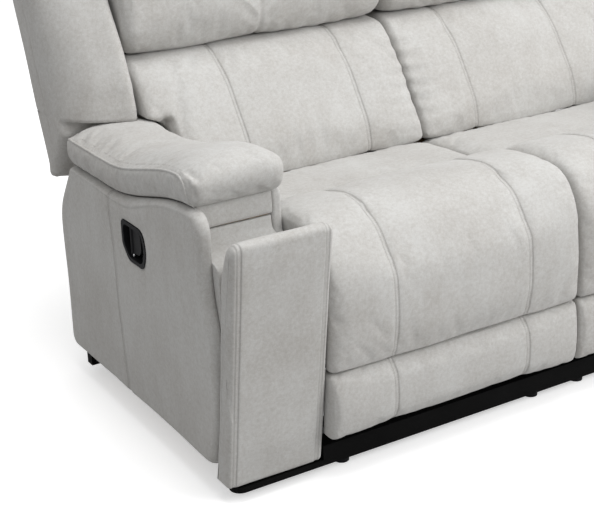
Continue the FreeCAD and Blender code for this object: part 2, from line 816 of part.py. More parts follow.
def wing_stations():
    """(height, outer edge, inner edge) up the wing: behind the arm pad, then out over it."""
    foot = size("wing_foot")
    over = size("over_arm_height") - 6
    span = shell_top() - over
    pad = size("pad_rear")
    rows = [(foot, rear_face(foot) - 18, rear_face(foot) - 54), (over - 34, pad + 28, pad + 22),
            (over - 4, pad + 38, pad + 16)]
    for share, outer, inner in ((0, 128, 227), (0.15, 123, 234), (0.52, 122, 204), (0.81, 101, 146),
                                (1, 57, 79)):
        z = over + share * span
        rows.append((z, rear_face(z) - outer, rear_face(z) - inner))
    return rows


def back_shell():
    thick = size("shell_thickness")
    right = -size("side_gap")
    foot = size("wing_foot")
    top = shell_top()
    lower = leaning(size("back_foot") + 2, foot + 20, thick, 0, seat_left + size("side_gap"), right)
    upper = leaning(foot, top, thick, 0, arm_left + 30, right)
    wires = []
    for z, outer, inner in wing_stations():
        x1 = arm_left + size("wing_inset")
        draw = 10 if z in (foot, top) else 0
        rear = rear_face(z)
        corners = [(arm_left + 6 + draw, outer + draw, 14), (x1, inner + draw, 12), (x1, rear, 2),
                   (arm_left + 6 + draw, rear - draw / 2, 30)]
        wires.append(rounded_wire(corners, at_z(z)))
    return loft(wires).fuse(upper).fuse(lower).removeSplitter()


def back_sections(profile, seam_places):
    """Stations across a back cushion."""
    start = arm_left + size("cushion_inset")
    end = -size("side_gap")
    stations = []
    for x in back_stations(start, end, seam_places):
        edge = min(x[0] - start, end - x[0])
        drawn = 12 if edge < 1 else (4 if edge < 6 else 0)
        stations.append((x[0], drawn + x[1], x[2]))
    wires = []
    for x, drawn, crown in stations:
        wires.append(rounded_wire(inset(profile(crown), drawn), at_x(x)))
    return wires


def back_stations(start, end, seam_places):
    """(place, extra inset, crown) across the cushion, with a channel at each seam."""
    marks = [(start, 0, 0), (start + 5, 0, 0), (start + 14, 0, 0.1)]
    for seam in seam_places:
        marks += [(seam - 6, 0, 0.5), (seam, size("seam_depth"), 0.4), (seam + 6, 0, 0.5)]
    places = [start + 14] + list(seam_places) + [end - 14]
    marks += [((a + b) / 2, 0, 1) for a, b in zip(places, places[1:]) if b - a > 100]
    marks += [(end - 14, 0, 0.1), (end - 5, 0, 0), (end, 0, 0)]
    return sorted(marks)


LUMBAR_SEAM = 139     # lumbar seams from each side of the seat


def lumbar_cushion():
    """Its part beside the seat reaches the deck; the part over the arm ends above it."""
    top = size("head_line") - 2
    bottom = size("lumbar_bottom")

    def profile(crown):
        full = 6 * crown
        return [(cushion_plane(bottom), bottom, 0), (cushion_plane(top - 8), top - 8, 0),
                (640, top, 20), (598 - full, top - 14, 30), (548 - full, 580 + full, 90),
                (458 - full, 446, 60), (446, bottom + 8, 20), (470, bottom, 12)]

    solid = loft(back_sections(profile, (seat_left + LUMBAR_SEAM, -LUMBAR_SEAM)))
    over_arm = Part.makeBox(size("arm_width"), 400, size("over_arm_height") - bottom + 20,
                            Vector(arm_left, 400, bottom - 20))
    over_arm.translate(Vector(size("side_gap"), 0, 0))
    return solid.cut(over_arm)


def head_cushion():
    line = size("head_line") + 1
    top = size("sofa_height")
    lip = shell_top() + 3

    def profile(crown):
        full = 7 * crown
        rows = [(cushion_plane(line), line, 8), (rear_face(line) - 187, line, 16)]
        for share, ahead, radius in ((0.11, 228, 50), (0.35, 247, 90), (0.65, 234, 110)):
            z = line + share * (top - line)
            rows.append((rear_face(z) - ahead - full, z, radius))
        return rows + [(rear_face(top) - 172, top - 35 + full, 80), (rear_face(top) - 88, top - 7 + full, 60),
                       (rear_face(top - HEAD_LIP) - 4, top - HEAD_LIP, 16), (rear_face(lip) - 3, lip, 6),
                       (cushion_plane(lip), lip, 4)]

    middle = (arm_left + size("cushion_inset")) / 2
    return loft(back_sections(profile, (middle,)))


def back_frame():
    front = size("shell_thickness") + gap + size("back_frame_thickness")
    rear = size("shell_thickness") + gap
    width = size("back_post_width")
    post_left = mechanism_middle - rail_offset - size("plate_thickness") / 2 - 1
    top_rail = shell_top() - 58
    left = arm_left + size("wing_inset") + 1
    post = leaning(262, top_rail, front, rear, post_left, post_left + width)
    posts = both_sides(post)
    inner = (post_left + width, 2 * mechanism_middle - post_left - width)
    rails = [leaning(top_rail, shell_top(), front, rear, left, -size("side_gap") - 3),
             leaning(600, 660, front, rear, *inner), leaning(262, 330, front, rear, *inner),
             leaning(600, 660, front, rear, left, post_left)]
    return posts + rails


# The left half

node_of("left_arm_frame", *arm_frame())
node_of("left_arm_outer_panel", outer_panel())
node_of("left_arm_inner_panel", inner_panel())
node_of("left_arm_front_slab", slab())
node_of("left_arm_front_core", arm_core())
node_of("left_arm_riser", riser())
node_of("left_arm_pad", arm_pad())
node_of("left_handle_bezel", handle_bezel())
node_of("left_handle_lever", handle_lever())
node_of("left_handle_pin", handle_pin())
node_of("left_release_cable", release_cable())
node_of("left_seat_side_plates", *both_sides(side_plate()))
node_of("left_seat_runners", *both_sides(*runner()))
node_of("left_seat_frame", *seat_frame())
node_of("left_seat_webbing", *webbing())
node_of("left_seat_cushion", seat_cushion())
node_of("left_drive_links", drive_links())
node_of("left_long_links", *both_sides(long_link()))
node_of("left_control_links", *both_sides(control_link()))
node_of("left_footrest_links", *both_sides(footrest_link()))
node_of("left_footrest_brackets", *both_sides(footrest_bracket()))
node_of("left_footrest_board", footrest_board())
node_of("left_footrest_pad", footrest_pad())
node_of("left_back_brackets", *both_sides(back_bracket()))
node_of("left_back_frame", *back_frame())
node_of("left_back_shell", back_shell())
node_of("left_lumbar_cushion", lumbar_cushion())
node_of("left_head_cushion", head_cushion())
doc.recompute()

# The right half mirrors it
for left in list(pieces):
    right = doc.addObject("Part::Mirroring", left.Name.replace("left", "right"))
    right.Label = left.Label.replace("left", "right")
    right.Source = left
    right.Normal = Vector(1, 0, 0)
    pieces.append(right)

# Rails and feet that join the two halves
for name, halves in (("base_channels", both_sides(channel()) + cross_tubes() + [latch_bracket()]),
                     ("feet", feet())):
    node_of(name, *halves, *[mirrored(shape, 0) for shape in halves])
node("kick_rail", [kick_rail()])
rear_rail = box("rear_rail_box", ("-seat_width - arm_width + rail_end_gap", "rear_rail_start", "rail_bottom"),
                ("2 * (seat_width + arm_width - rail_end_gap)", "rear_rail_depth",
                 "arm_foot - fixed_gap - rail_bottom"))
node("rear_rail", [rear_rail])
doc.recompute()

# The frame's Y is zero at the middle of the whole depth
whole = None
for piece in pieces:
    bounds = piece.Shape.optimalBoundingBox(False)
    whole = bounds if whole is None else whole.united(bounds)
for piece in pieces:
    if piece.TypeId != "Part::Mirroring":
        piece.Placement.Base = Vector(0, -whole.Center.y, 0)
doc.recompute()

for piece in doc.Objects:
    if "Invalid" in piece.State or "Error" in piece.State:
        raise SystemExit("failed object: " + piece.Name)
for piece in pieces:
    if piece.Shape.isNull() or not piece.Shape.isValid() or piece.Shape.Volume <= 0:
        raise SystemExit("bad shape: " + piece.Label)
for piece in pieces:
    piece.Shape.exportStep("parts/%s.step" % piece.Label)
print("nodes", len(pieces))
print("box", whole)
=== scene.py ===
# %% [markdown]
# A two-seat reclining sofa, dressed over its CAD frame.
# The frame carries every hinge and slide. This notebook adds what the eye meets first: brushed
# suede cushions that are filled and sewn, upholstered arms, piping, thread, and plain materials for
# the wood and steel underneath.

# %% Load the frame
import math
import bmesh
import bpy
import numpy as np
from mathutils import Matrix, Vector
from mathutils.bvhtree import BVHTree


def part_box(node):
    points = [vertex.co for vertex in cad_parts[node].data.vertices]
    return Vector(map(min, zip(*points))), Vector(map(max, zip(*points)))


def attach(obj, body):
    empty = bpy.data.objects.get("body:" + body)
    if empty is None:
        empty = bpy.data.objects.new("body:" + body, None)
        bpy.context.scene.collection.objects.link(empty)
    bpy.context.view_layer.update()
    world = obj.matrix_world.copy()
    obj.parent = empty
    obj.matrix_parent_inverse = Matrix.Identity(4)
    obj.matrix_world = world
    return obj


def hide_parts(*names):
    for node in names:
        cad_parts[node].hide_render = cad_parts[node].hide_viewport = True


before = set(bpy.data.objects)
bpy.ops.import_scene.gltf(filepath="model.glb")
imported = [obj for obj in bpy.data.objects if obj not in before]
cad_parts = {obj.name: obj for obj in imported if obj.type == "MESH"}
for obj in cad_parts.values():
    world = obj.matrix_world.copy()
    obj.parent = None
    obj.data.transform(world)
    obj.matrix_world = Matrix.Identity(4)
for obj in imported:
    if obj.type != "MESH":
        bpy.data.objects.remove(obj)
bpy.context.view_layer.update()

scene = bpy.context.scene
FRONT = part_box("kick_rail")[0][1]

# %% [markdown]
# The pieces are drawn in workshop millimetres: X from the line between the seats, Y from the kick
# rail's front, Z from the floor. One function brings such points into the frame's metres. The sofa
# is symmetrical, so each piece is drawn for the left seat and mirrored for the right one.

# %% Workshop millimetres to the frame's metres
SEAT, ARM = 555.0, 190.0
LEFT, OUTSIDE = -SEAT, -SEAT - ARM


def to_frame(points):
    """Millimetres to metres, with Y counted from the kick rail's front."""
    points = np.asarray(points, float) / 1000
    points[..., 1] += FRONT
    return points


# %% [markdown]
# The camera stands where the photograph was taken from: in front of the left arm, a little above
# the back, turned towards the middle. A camera matrix has the right, up and backward directions as
# its columns, so the three are worked out from the turn, tilt and roll and written in directly.

# %% Camera
turn, tilt, roll = math.radians(30.5), math.radians(21.8), math.radians(-2.11)
ahead = Vector((math.sin(turn) * math.cos(tilt), math.cos(turn) * math.cos(tilt), -math.sin(tilt)))
level = Vector((math.cos(turn), -math.sin(turn), 0))
upward = level.cross(ahead)
right = level * math.cos(roll) + upward * math.sin(roll)
up = upward * math.cos(roll) - level * math.sin(roll)
camera = bpy.data.objects.new("camera", bpy.data.cameras.new("camera"))
scene.collection.objects.link(camera)
place = Matrix((right, up, -ahead)).transposed().to_4x4()
place.translation = Vector(to_frame([-1673, -1835, 1283]))
camera.matrix_world = place
camera.data.lens = 84.67
camera.data.sensor_width = 36
camera.data.clip_end = 50
scene.camera = camera

# %% [markdown]
# Shader maths reads best as plain expressions. This class wraps a socket, so that `1 - mask * 0.4`
# adds the Math nodes by itself. Any other node comes from `node`, which takes its type, its
# settings and the values or links of its sockets.

# %% Shader expressions


class Value:
    """A socket that can be added, multiplied and compared."""

    def __init__(self, tree, socket):
        self.tree, self.socket = tree, socket

    def _math(self, operation, *others):
        added = self.tree.nodes.new("ShaderNodeMath")
        added.operation = operation
        for slot, item in zip(added.inputs, others):
            connect(self.tree, slot, item)
        return Value(self.tree, added.outputs[0])

    def __add__(self, other):
        return self._math("ADD", self, other)

    def __radd__(self, other):
        return self._math("ADD", other, self)

    def __sub__(self, other):
        return self._math("SUBTRACT", self, other)

    def __rsub__(self, other):
        return self._math("SUBTRACT", other, self)

    def __mul__(self, other):
        return self._math("MULTIPLY", self, other)

    def __rmul__(self, other):
        return self._math("MULTIPLY", other, self)

    def __truediv__(self, other):
        return self._math("DIVIDE", self, other)

    def __pow__(self, other):
        return self._math("POWER", self, other)

    def __neg__(self):
        return self._math("MULTIPLY", self, -1.0)

    def size(self):
        return self._math("ABSOLUTE", self)

    def dent(self, width):
        """A soft valley: 1 where this value is 0, fading over a width."""
        return self._math("EXPONENT", -((self / width) ** 2.0))


def connect(tree, slot, item):
    """Links a value to a socket, or sets a plain number or colour on it."""
    if isinstance(item, Value):
        tree.links.new(item.socket, slot)
    else:
        slot.default_value = item


def node(tree, kind, settings=(), output=0, **sockets):
    """A node of a type with its settings, and values or links by socket name."""
    made = tree.nodes.new("ShaderNode" + kind)
    for name, value in dict(settings).items():
        setattr(made, name, value)
    for name, item in sockets.items():
        connect(tree, made.inputs[name.replace("_", " ")], item)
    return Value(tree, made.outputs[output])


def blend(tree, share, first, second):
    """A colour between two colours."""
    mix = tree.nodes.new("ShaderNodeMix")
    mix.data_type = "RGBA"
    connect(tree, mix.inputs[0], share)
    connect(tree, mix.inputs[6], first)
    connect(tree, mix.inputs[7], second)
    return Value(tree, mix.outputs[2])


def new_material(name, **plain):
    """A material with a Principled shader, and the same values all over its sockets."""
    material = bpy.data.materials.new(name)
    material.use_nodes = True
    shader = material.node_tree.nodes["Principled BSDF"]
    for socket, value in plain.items():
        shader.inputs[socket.replace("_", " ")].default_value = value
    return material, material.node_tree, shader


def axes(tree):
    """Object coordinates and their three values."""
    place = node(tree, "TexCoord", output=3)
    split = tree.nodes.new("ShaderNodeSeparateXYZ")
    tree.links.new(place.socket, split.inputs[0])
    return place, [Value(tree, out) for out in split.outputs]


def noise(tree, place, scale, detail=3.0, stretch=(1, 1, 1), roughness=0.55):
    """Noise between 0 and 1 on a place, stretched along the axes."""
    mapped = node(tree, "Mapping", Vector=place, Scale=stretch)
    return node(tree, "TexNoise", Vector=mapped, Scale=scale, Detail=detail, Roughness=roughness)


# %% [markdown]
# The cover is a brushed microfibre that imitates suede. Its short nap lies this way and that, so the
# cloth is cloudy: cool and pale where the nap faces up, warm and darker where a hand has brushed it
# back. A photograph of cloth could be wrapped round instead, but it would repeat and stretch, so four
# sizes of noise make the clouds, the brush marks, the grain and the nap. The same cloth has a dent
# along each row of stitches, with painted shade darkening the cloth in it, so the material takes a list of
# seams as well.

# %% Suede
SEAM_GAP, ROW_WIDTH = 3.4, 0.0016
NAP_PALE = (0.525, 0.522, 0.508, 1)
NAP_WARM = (0.405, 0.388, 0.366, 1)


def suede(name, seams=(), lines=(), until=2000):
    """Brushed suede. A seam is a distance from the middle plane up to a depth, a line is (y, z, y, z)."""
    material, tree, shader = new_material(name, Roughness=0.92, Sheen_Weight=0.22, Sheen_Roughness=0.45,
                                          Specular_IOR_Level=0.15)
    place, (x, y, z) = axes(tree)
    clouds = noise(tree, place, 5.0, 2.0)
    marks = noise(tree, place, 26.0, 4.0, (1.0, 1.0, 0.45))
    nap = noise(tree, place, 420.0, 3.0)
    grain = noise(tree, place, 150.0, 3.0)
    share = (clouds - 0.5) * 1.1 + (marks - 0.5) * 0.8 + (grain - 0.5) * 1.3 + (nap - 0.5) * 1.2 + 0.45
    spread = node(tree, "Clamp", Value=share)
    here = node(tree, "Clamp", Value=(until / 1000 + FRONT - y) * 300.0)
    rows = [(x.size() - (seam + side) / 1000).dent(ROW_WIDTH) * here
            for seam in seams for side in (-SEAM_GAP, SEAM_GAP)]
    for y0, z0, y1, z1 in lines:
        along = np.array([y1 - y0, z1 - z0], float)
        along /= np.linalg.norm(along)
        across = ((y - (y0 / 1000 + FRONT)) * float(-along[1]) + (z - z0 / 1000) * float(along[0]))
        rows += [(across - side / 1000).dent(ROW_WIDTH) for side in (-SEAM_GAP, SEAM_GAP)]
    height = nap * 0.00018 + grain * 0.0003 + marks * 0.0008
    colour = blend(tree, spread, NAP_PALE, NAP_WARM)
    if rows:
        sewn = sum(rows[1:], rows[0])
        height = height - sewn * 0.0011
        # Painted shade: the cloth's colour is darkened inside each seam's dent.
        colour = blend(tree, sewn * 0.30, colour, tuple(c * 0.6 for c in NAP_WARM[:3]) + (1,))
    bump = node(tree, "Bump", Height=height, Strength=0.75, Distance=1.0)
    connect(tree, shader.inputs["Base Color"], colour)
    connect(tree, shader.inputs["Roughness"], 0.86 + marks * 0.1)
    connect(tree, shader.inputs["Normal"], bump)
    return material


cloth = suede("suede")
cloth_seat = suede("suede_seat", seams=(130, 425), until=238)
cloth_lumbar = suede("suede_lumbar", seams=(139, 416))
cloth_boxed = suede("suede_boxed", seams=(569.5, 733), until=40)
cloth_side = suede("suede_side", lines=((413, 452, 390, 42),))

# %% [markdown]
# Underneath are sawn pine, black painted steel, moulded plastic and elastic. Wood shows rings that
# run along the boards, paint shows a fine orange peel, and plastic a faint grain.

# %% Wood, steel, plastic, webbing and thread


def wood(name):
    """Sawn pine: bands of rings, bent by noise, with fibres along the boards."""
    material, tree, shader = new_material(name, Roughness=0.72)
    place, _ = axes(tree)
    wander = noise(tree, place, 6.0, 3.0)
    rings = node(tree, "TexWave", {"wave_type": "BANDS", "bands_direction": "Z"}, Vector=place,
                 Scale=28.0, Distortion=5.0, Detail=3.0, Detail_Scale=1.2)
    fibre = noise(tree, place, 220.0, 3.0, (1, 0.12, 1))
    share = node(tree, "Clamp", Value=rings * 0.5 + wander * 0.35 + fibre * 0.25 - 0.1)
    colour = blend(tree, share, (0.62, 0.44, 0.26, 1), (0.40, 0.25, 0.13, 1))
    bump = node(tree, "Bump", Height=fibre * 0.0004, Strength=0.6, Distance=1.0)
    connect(tree, shader.inputs["Base Color"], colour)
    connect(tree, shader.inputs["Normal"], bump)
    return material


def hard(name, colour, roughness, metal=0.0, grain=300.0, depth=0.00008, dusty=0.35, gloss=0.5):
    """Paint or plastic: one colour with a fine grain and dust that dulls it."""
    material, tree, shader = new_material(name, Metallic=metal, Specular_IOR_Level=gloss)
    place, _ = axes(tree)
    fine = noise(tree, place, grain, 2.0)
    dust = noise(tree, place, 12.0, 4.0)
    tone = blend(tree, node(tree, "Clamp", Value=(dust - 0.5) * dusty), (*colour, 1),
                 tuple(min(1, c * 1.5 + 0.05) for c in colour) + (1,))
    connect(tree, shader.inputs["Base Color"], tone)
    connect(tree, shader.inputs["Roughness"], dust * 0.25 + (roughness - 0.12))
    bump = node(tree, "Bump", Height=fine * depth, Strength=0.5, Distance=1.0)
    connect(tree, shader.inputs["Normal"], bump)
    return material


def webbing_cloth(name):
    """Black elastic: lengthwise ribs crossed by a tight weave."""
    material, tree, shader = new_material(name, Roughness=0.9)
    place, _ = axes(tree)
    ribs = node(tree, "TexWave", {"bands_direction": "X"}, Vector=place, Scale=95.0, Detail=0.0)
    picks = node(tree, "TexWave", {"bands_direction": "Y"}, Vector=place, Scale=160.0, Detail=0.0)
    colour = blend(tree, ribs * 0.6 + picks * 0.4, (0.012, 0.012, 0.013, 1), (0.055, 0.055, 0.058, 1))
    connect(tree, shader.inputs["Base Color"], colour)
    connect(tree, shader.inputs["Normal"], node(tree, "Bump", Height=(ribs + picks) * 0.0003,
                                                Strength=0.7, Distance=1.0))
    return material


def thread_cloth(name):
    """Twisted thread, a shade paler than the cover."""
    material, tree, shader = new_material(name, Roughness=0.75)
    place, _ = axes(tree)
    twist = noise(tree, place, 900.0, 2.0)
    colour = blend(tree, twist, (0.60, 0.58, 0.555, 1), (0.42, 0.405, 0.385, 1))
    connect(tree, shader.inputs["Base Color"], colour)
    return material


pine = wood("pine")
black_steel = hard("black_steel", (0.022, 0.022, 0.024), 0.42)
rail_paint = hard("rail_paint", (0.003, 0.003, 0.003), 0.75, grain=180.0, dusty=0.01, gloss=0.05)
pin_steel = hard("pin_steel", (0.45, 0.45, 0.46), 0.34, metal=1.0, dusty=0.2)
moulding = hard("black_moulding", (0.006, 0.006, 0.007), 0.72, grain=520.0, depth=0.00012,
                dusty=0.02, gloss=0.12)
sheath = hard("cable_sheath", (0.015, 0.015, 0.016), 0.5)
elastic = webbing_cloth("elastic_webbing")
thread = thread_cloth("thread")

NODE_FINISH = {
    "arm_frame": pine, "seat_frame": pine, "back_frame": pine, "footrest_board": pine,
    "handle_bezel": moulding, "handle_lever": moulding, "handle_pin": pin_steel,
    "seat_webbing": elastic, "release_cable": sheath, "kick_rail": rail_paint,
    "rear_rail": rail_paint, "feet": moulding, "seat_runners": moulding,
}
for name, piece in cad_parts.items():
    finish = NODE_FINISH.get(name.replace("left_", "").replace("right_", ""), black_steel)
    piece.data.materials.clear()
    piece.data.materials.append(finish)

# %% [markdown]
# Every cushion starts as a closed outline seen from the side, carried across the seat. The outline
# is given as corners with a roundness. Each corner is a short curve between two points on its runs,
# and the whole loop is walked at even steps, so that a hundred and more points lie evenly on it.

# %% Outlines


def outline(corners, count):
    """Even points round a loop of (u, v, roundness) corners, and the outward directions there.

    A corner is the quadratic curve (1-t)^2 A + 2t(1-t) C + t^2 B, from a point A on the run before
    it to a point B on the run after it, with the corner C as its control point.
    """
    data = np.array(corners, float)
    here, radius = data[:, :2], data[:, 2:]
    back = np.roll(here, 1, 0) - here
    fore = np.roll(here, -1, 0) - here
    back_length = np.linalg.norm(back, axis=1, keepdims=True)
    fore_length = np.linalg.norm(fore, axis=1, keepdims=True)
    reach = np.minimum(radius, 0.48 * np.minimum(back_length, fore_length))
    start = here + back / back_length * reach
    end = here + fore / fore_length * reach
    t = np.linspace(0, 1, 13)[None, :, None]
    curve = (1 - t) ** 2 * start[:, None] + 2 * t * (1 - t) * here[:, None] + t ** 2 * end[:, None]
    loop = curve.reshape(-1, 2)
    loop = np.vstack([loop, loop[:1]])
    walked = np.concatenate([[0], np.cumsum(np.linalg.norm(np.diff(loop, axis=0), axis=1))])
    keep = np.concatenate([[True], np.diff(walked) > 1e-9])
    steps = np.linspace(0, walked[-1], count, endpoint=False)
    points = np.stack([np.interp(steps, walked[keep], loop[keep, k]) for k in (0, 1)], 1)
    ahead_step = np.roll(points, -2, 0) - np.roll(points, 2, 0)
    area = np.sum(points[:, 0] * np.roll(points[:, 1], -1) - points[:, 1] * np.roll(points[:, 0], -1))
    outward = np.stack([ahead_step[:, 1], -ahead_step[:, 0]], 1) * np.sign(area)
    outward /= np.linalg.norm(outward, axis=1, keepdims=True)
    return points, outward


def stations(start, end, edge, inside):
    """Places across a piece, and how far its rounded edges are drawn in there.

    Near each end the place is edge * (1 - cos a) and the draw is edge * (1 - sin a), a quarter circle.
    """
    a = np.linspace(0, np.pi / 2, 8)
    near, draw = edge * (1 - np.cos(a)), edge * (1 - np.sin(a))
    middle = np.linspace(start + edge, end - edge, inside)[1:-1]
    places = np.concatenate([start + near, middle, (end - near)[::-1]])
    return places, np.concatenate([draw, np.zeros(len(middle)), draw[::-1]])


def billow(places, breaks, depth):
    """Fullness between sewn lines: depth * (4 t (1 - t))^0.6 over each panel, with t from 0 to 1."""
    full = np.zeros_like(places)
    for a, b in zip(breaks, breaks[1:]):
        t = np.clip((places - a) / (b - a), 0, 1)
        full = np.maximum(full, depth * (4 * t * (1 - t)) ** 0.6 * (b - a > 40))
    return full


def mesh_from_grid(name, grid, wrap=False):
    """A mesh whose rows are loops of points. One face closes each end, unless the rows wrap round."""
    rows, count = grid.shape[:2]
    i, j = np.meshgrid(np.arange(rows if wrap else rows - 1), np.arange(count), indexing="ij")
    below, beside = (i + 1) % rows, (j + 1) % count
    quads = np.stack([i * count + j, i * count + beside, below * count + beside, below * count + j], -1)
    faces = quads.reshape(-1, 4).tolist()
    if not wrap:
        faces.append(list(range(count))[::-1])
        faces.append(list(range((rows - 1) * count, rows * count)))
    mesh = bpy.data.meshes.new(name)
    mesh.from_pydata(to_frame(grid.reshape(-1, 3)), [], faces)
    return mesh


def outward_faces(mesh):
    """Turns every face the same way, outwards."""
    work = bmesh.new()
    work.from_mesh(mesh)
    bmesh.ops.recalc_face_normals(work, faces=work.faces)
    work.to_mesh(mesh)
    work.free()


def add_piece(name, mesh, material):
    """An object with a smooth-shaded mesh and one material."""
    outward_faces(mesh)
    piece = bpy.data.objects.new(name, mesh)
    scene.collection.objects.link(piece)
    mesh.materials.clear()
    mesh.materials.append(material)
    mesh.polygons.foreach_set("use_smooth", np.ones(len(mesh.polygons), bool))
    return piece


def across_seat(name, corners, places, offsets, material, count=200):
    """A loop of (y, z) corners carried along X, moved outwards by offsets at each place."""
    loop, outward = outline(corners, count)
    offsets = np.broadcast_to(offsets, (len(places), count))
    moved = loop[None] + outward[None] * offsets[..., None]
    grid = np.concatenate([np.broadcast_to(places[:, None, None], moved.shape[:2] + (1,)), moved], -1)
    return add_piece(name, mesh_from_grid(name, grid), material), loop, outward


# %% [markdown]
# A cushion could be puffed by a formula alone, but real filling strains the cloth between its sewn
# edges, and cloth simulation gives that strain. The shell is remeshed into even small squares, its
# edges and hidden faces are pinned, and pressure inside swells the rest. Gravity stays off, because
# the foam carries its own weight. The swelling is eased off at a cap, so a piece keeps near its CAD
# solid. Remeshing blurs narrow seams, so the dents and folds beside them are pressed in afterwards.

# %% Filling a cushion


def coordinates(mesh):
    """All vertices as rows of x, y and z."""
    values = np.empty(len(mesh.vertices) * 3)
    mesh.vertices.foreach_get("co", values)
    return values.reshape(-1, 3)


def directions(mesh):
    """All vertex normals as rows."""
    values = np.empty(len(mesh.vertices) * 3)
    mesh.vertex_normals.foreach_get("vector", values)
    return values.reshape(-1, 3)


def write(mesh, points):
    """Puts rows of x, y and z back as the vertices."""
    mesh.vertices.foreach_set("co", np.asarray(points, np.float32).ravel())
    mesh.update()


def settle(piece):
    """Applies what a piece's modifiers do to its mesh, and takes them off."""
    shape = bpy.data.meshes.new_from_object(piece.evaluated_get(bpy.context.evaluated_depsgraph_get()))
    piece.modifiers.clear()
    piece.data = shape
    return shape


def workshop(points):
    """The frame's metres back to workshop millimetres."""
    points = points * 1000
    points[:, 1] -= FRONT * 1000
    return points


def fill(piece, sewn, voxel=6.0, cap=16.0, pressure=4.0):
    """Remeshes a piece and swells it by cloth simulation, held where sewn(points) says so."""
    remesh = piece.modifiers.new("remesh", "REMESH")
    remesh.mode = "VOXEL"
    remesh.voxel_size = voxel / 1000
    mesh = settle(piece)
    before = coordinates(mesh)
    held = np.nonzero(sewn(workshop(before.copy())))[0]
    group = piece.vertex_groups.new(name="sewn")
    group.add(held.tolist(), 1.0, "REPLACE")
    added = piece.modifiers.new("cloth", "CLOTH")
    rules = added.settings
    rules.vertex_group_mass = "sewn"
    rules.quality = 4
    rules.mass = 0.25
    rules.tension_stiffness = rules.compression_stiffness = 12
    rules.bending_stiffness = 0.8
    rules.use_pressure = True
    rules.uniform_pressure_force = pressure
    rules.effector_weights.gravity = 0
    rules.shrink_min = -0.015
    added.point_cache.frame_end = 20
    for step in range(1, 21):
        scene.frame_set(step)
    mesh = settle(piece)
    scene.frame_set(1)
    move = coordinates(mesh) - before
    length = np.linalg.norm(move, axis=1, keepdims=True) + 1e-12
    limit = cap / 1000
    write(mesh, before + move * (limit * np.tanh(length / limit) / length))
    print(piece.name, "swelled by", round(float(length.max() * 1000), 1), "mm")
    divide = piece.modifiers.new("divide", "SUBSURF")
    divide.levels = divide.render_levels = 1
    mesh = settle(piece)
    piece.vertex_groups.clear()
    mesh.polygons.foreach_set("use_smooth", np.ones(len(mesh.polygons), bool))
    return mesh


def press(piece, depth_at):
    """Moves each vertex along its normal by depth_at(points), in millimetres."""
    mesh = piece.data
    points = coordinates(mesh)
    depth = depth_at(workshop(points.copy()))[:, None] / 1000
    write(mesh, points + directions(mesh) * depth)


def groove(distance, depth, width):
    """A sewn valley: -depth * exp(-(distance / width)^2)."""
    return -depth * np.exp(-((distance / width) ** 2))


def ripples(points, seed, height, shortest, longest, count=14):
    """Soft unevenness: a sum of sine waves in random directions, between two lengths."""
    draw = np.random.default_rng(seed)
    way = draw.normal(size=(count, 3))
    way /= np.linalg.norm(way, axis=1, keepdims=True)
    length = draw.uniform(shortest, longest, count)
    phase = draw.uniform(0, 2 * np.pi, count)
    waves = np.sin(points @ (way / length[:, None] * 2 * np.pi).T + phase)
    return height * waves.sum(1) / np.sqrt(count)


def puckers(along, away, seed, height, reach, pitch=34.0):
    """Short folds that run off a seam: uneven ridges along it, fading over a reach away from it."""
    draw = np.random.default_rng(seed)
    bend = 0.35 * pitch * np.sin(along / (pitch * 2.3) + draw.uniform(0, 6))
    strength = 0.5 + 0.5 * np.sin(along / (pitch * 1.7) + draw.uniform(0, 6))
    fold = np.sin(2 * np.pi * (along + bend + 0.12 * away) / pitch)
    return height * fold * strength * np.exp(-np.abs(away) / reach)


# %% [markdown]
# A piece of the left side is mirrored to make the right one, and each rides on the body that carries
# it in the CAD model. Mirroring turns faces inside out, so they are turned round again.

# %% Both sides


def mirrored(piece, name):
    mesh = piece.data.copy()
    points = coordinates(mesh)
    points[:, 0] *= -1
    write(mesh, points)
    mesh.flip_normals()
    twin = bpy.data.objects.new(name, mesh)
    scene.collection.objects.link(twin)
    return twin


def finish_pair(piece, body, nodes=()):
    """Mirrors a left piece, rides both on their bodies and hides the nodes they stand for."""
    stem = piece.name.replace("left_", "")
    pair = {"left": piece, "right": mirrored(piece, "right_" + stem)}
    for side, one in pair.items():
        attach(one, "base" if body == "base" else side + "_" + body)
        if nodes:
            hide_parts(*[side + "_" + n for n in nodes])
    print(stem, len(piece.data.vertices), "points, on", body)


# %% [markdown]
# Thread is drawn as single stitches. Each is a tiny six-sided bead stretched along the seam. The
# seam's line is found by shooting rays at the finished cushion, so the thread lies on the cloth
# wherever the filling has pushed it.

# %% Thread


def on_surface(piece, starts, aims):
    """Where rays from starts along aims meet a piece, with the normals there. Misses are left out."""
    tree = BVHTree.FromObject(piece, bpy.context.evaluated_depsgraph_get())
    hits, normals = [], []
    for start, aim in zip(to_frame(starts), np.asarray(aims, float)):
        hit, normal, _, _ = tree.ray_cast(Vector(start), Vector(aim), 0.25)
        if hit is not None:
            hits.append(hit[:])
            normals.append(normal[:])
    return np.array(hits), np.array(normals)


def from_outside(piece, y, z):
    """Where level rays from outside the arm meet a piece, at given depths and heights."""
    starts = np.stack([np.full(len(y), OUTSIDE - 40), y, z], 1)
    return on_surface(piece, starts, np.tile([1, 0, 0], (len(y), 1)))


def smooth_path(points, times=3):
    """Each inner point moves to the mean of itself and its neighbours, a few times."""
    points = points.copy()
    for _ in range(times):
        points[1:-1] = (points[:-2] + 2 * points[1:-1] + points[2:]) / 4
    return points


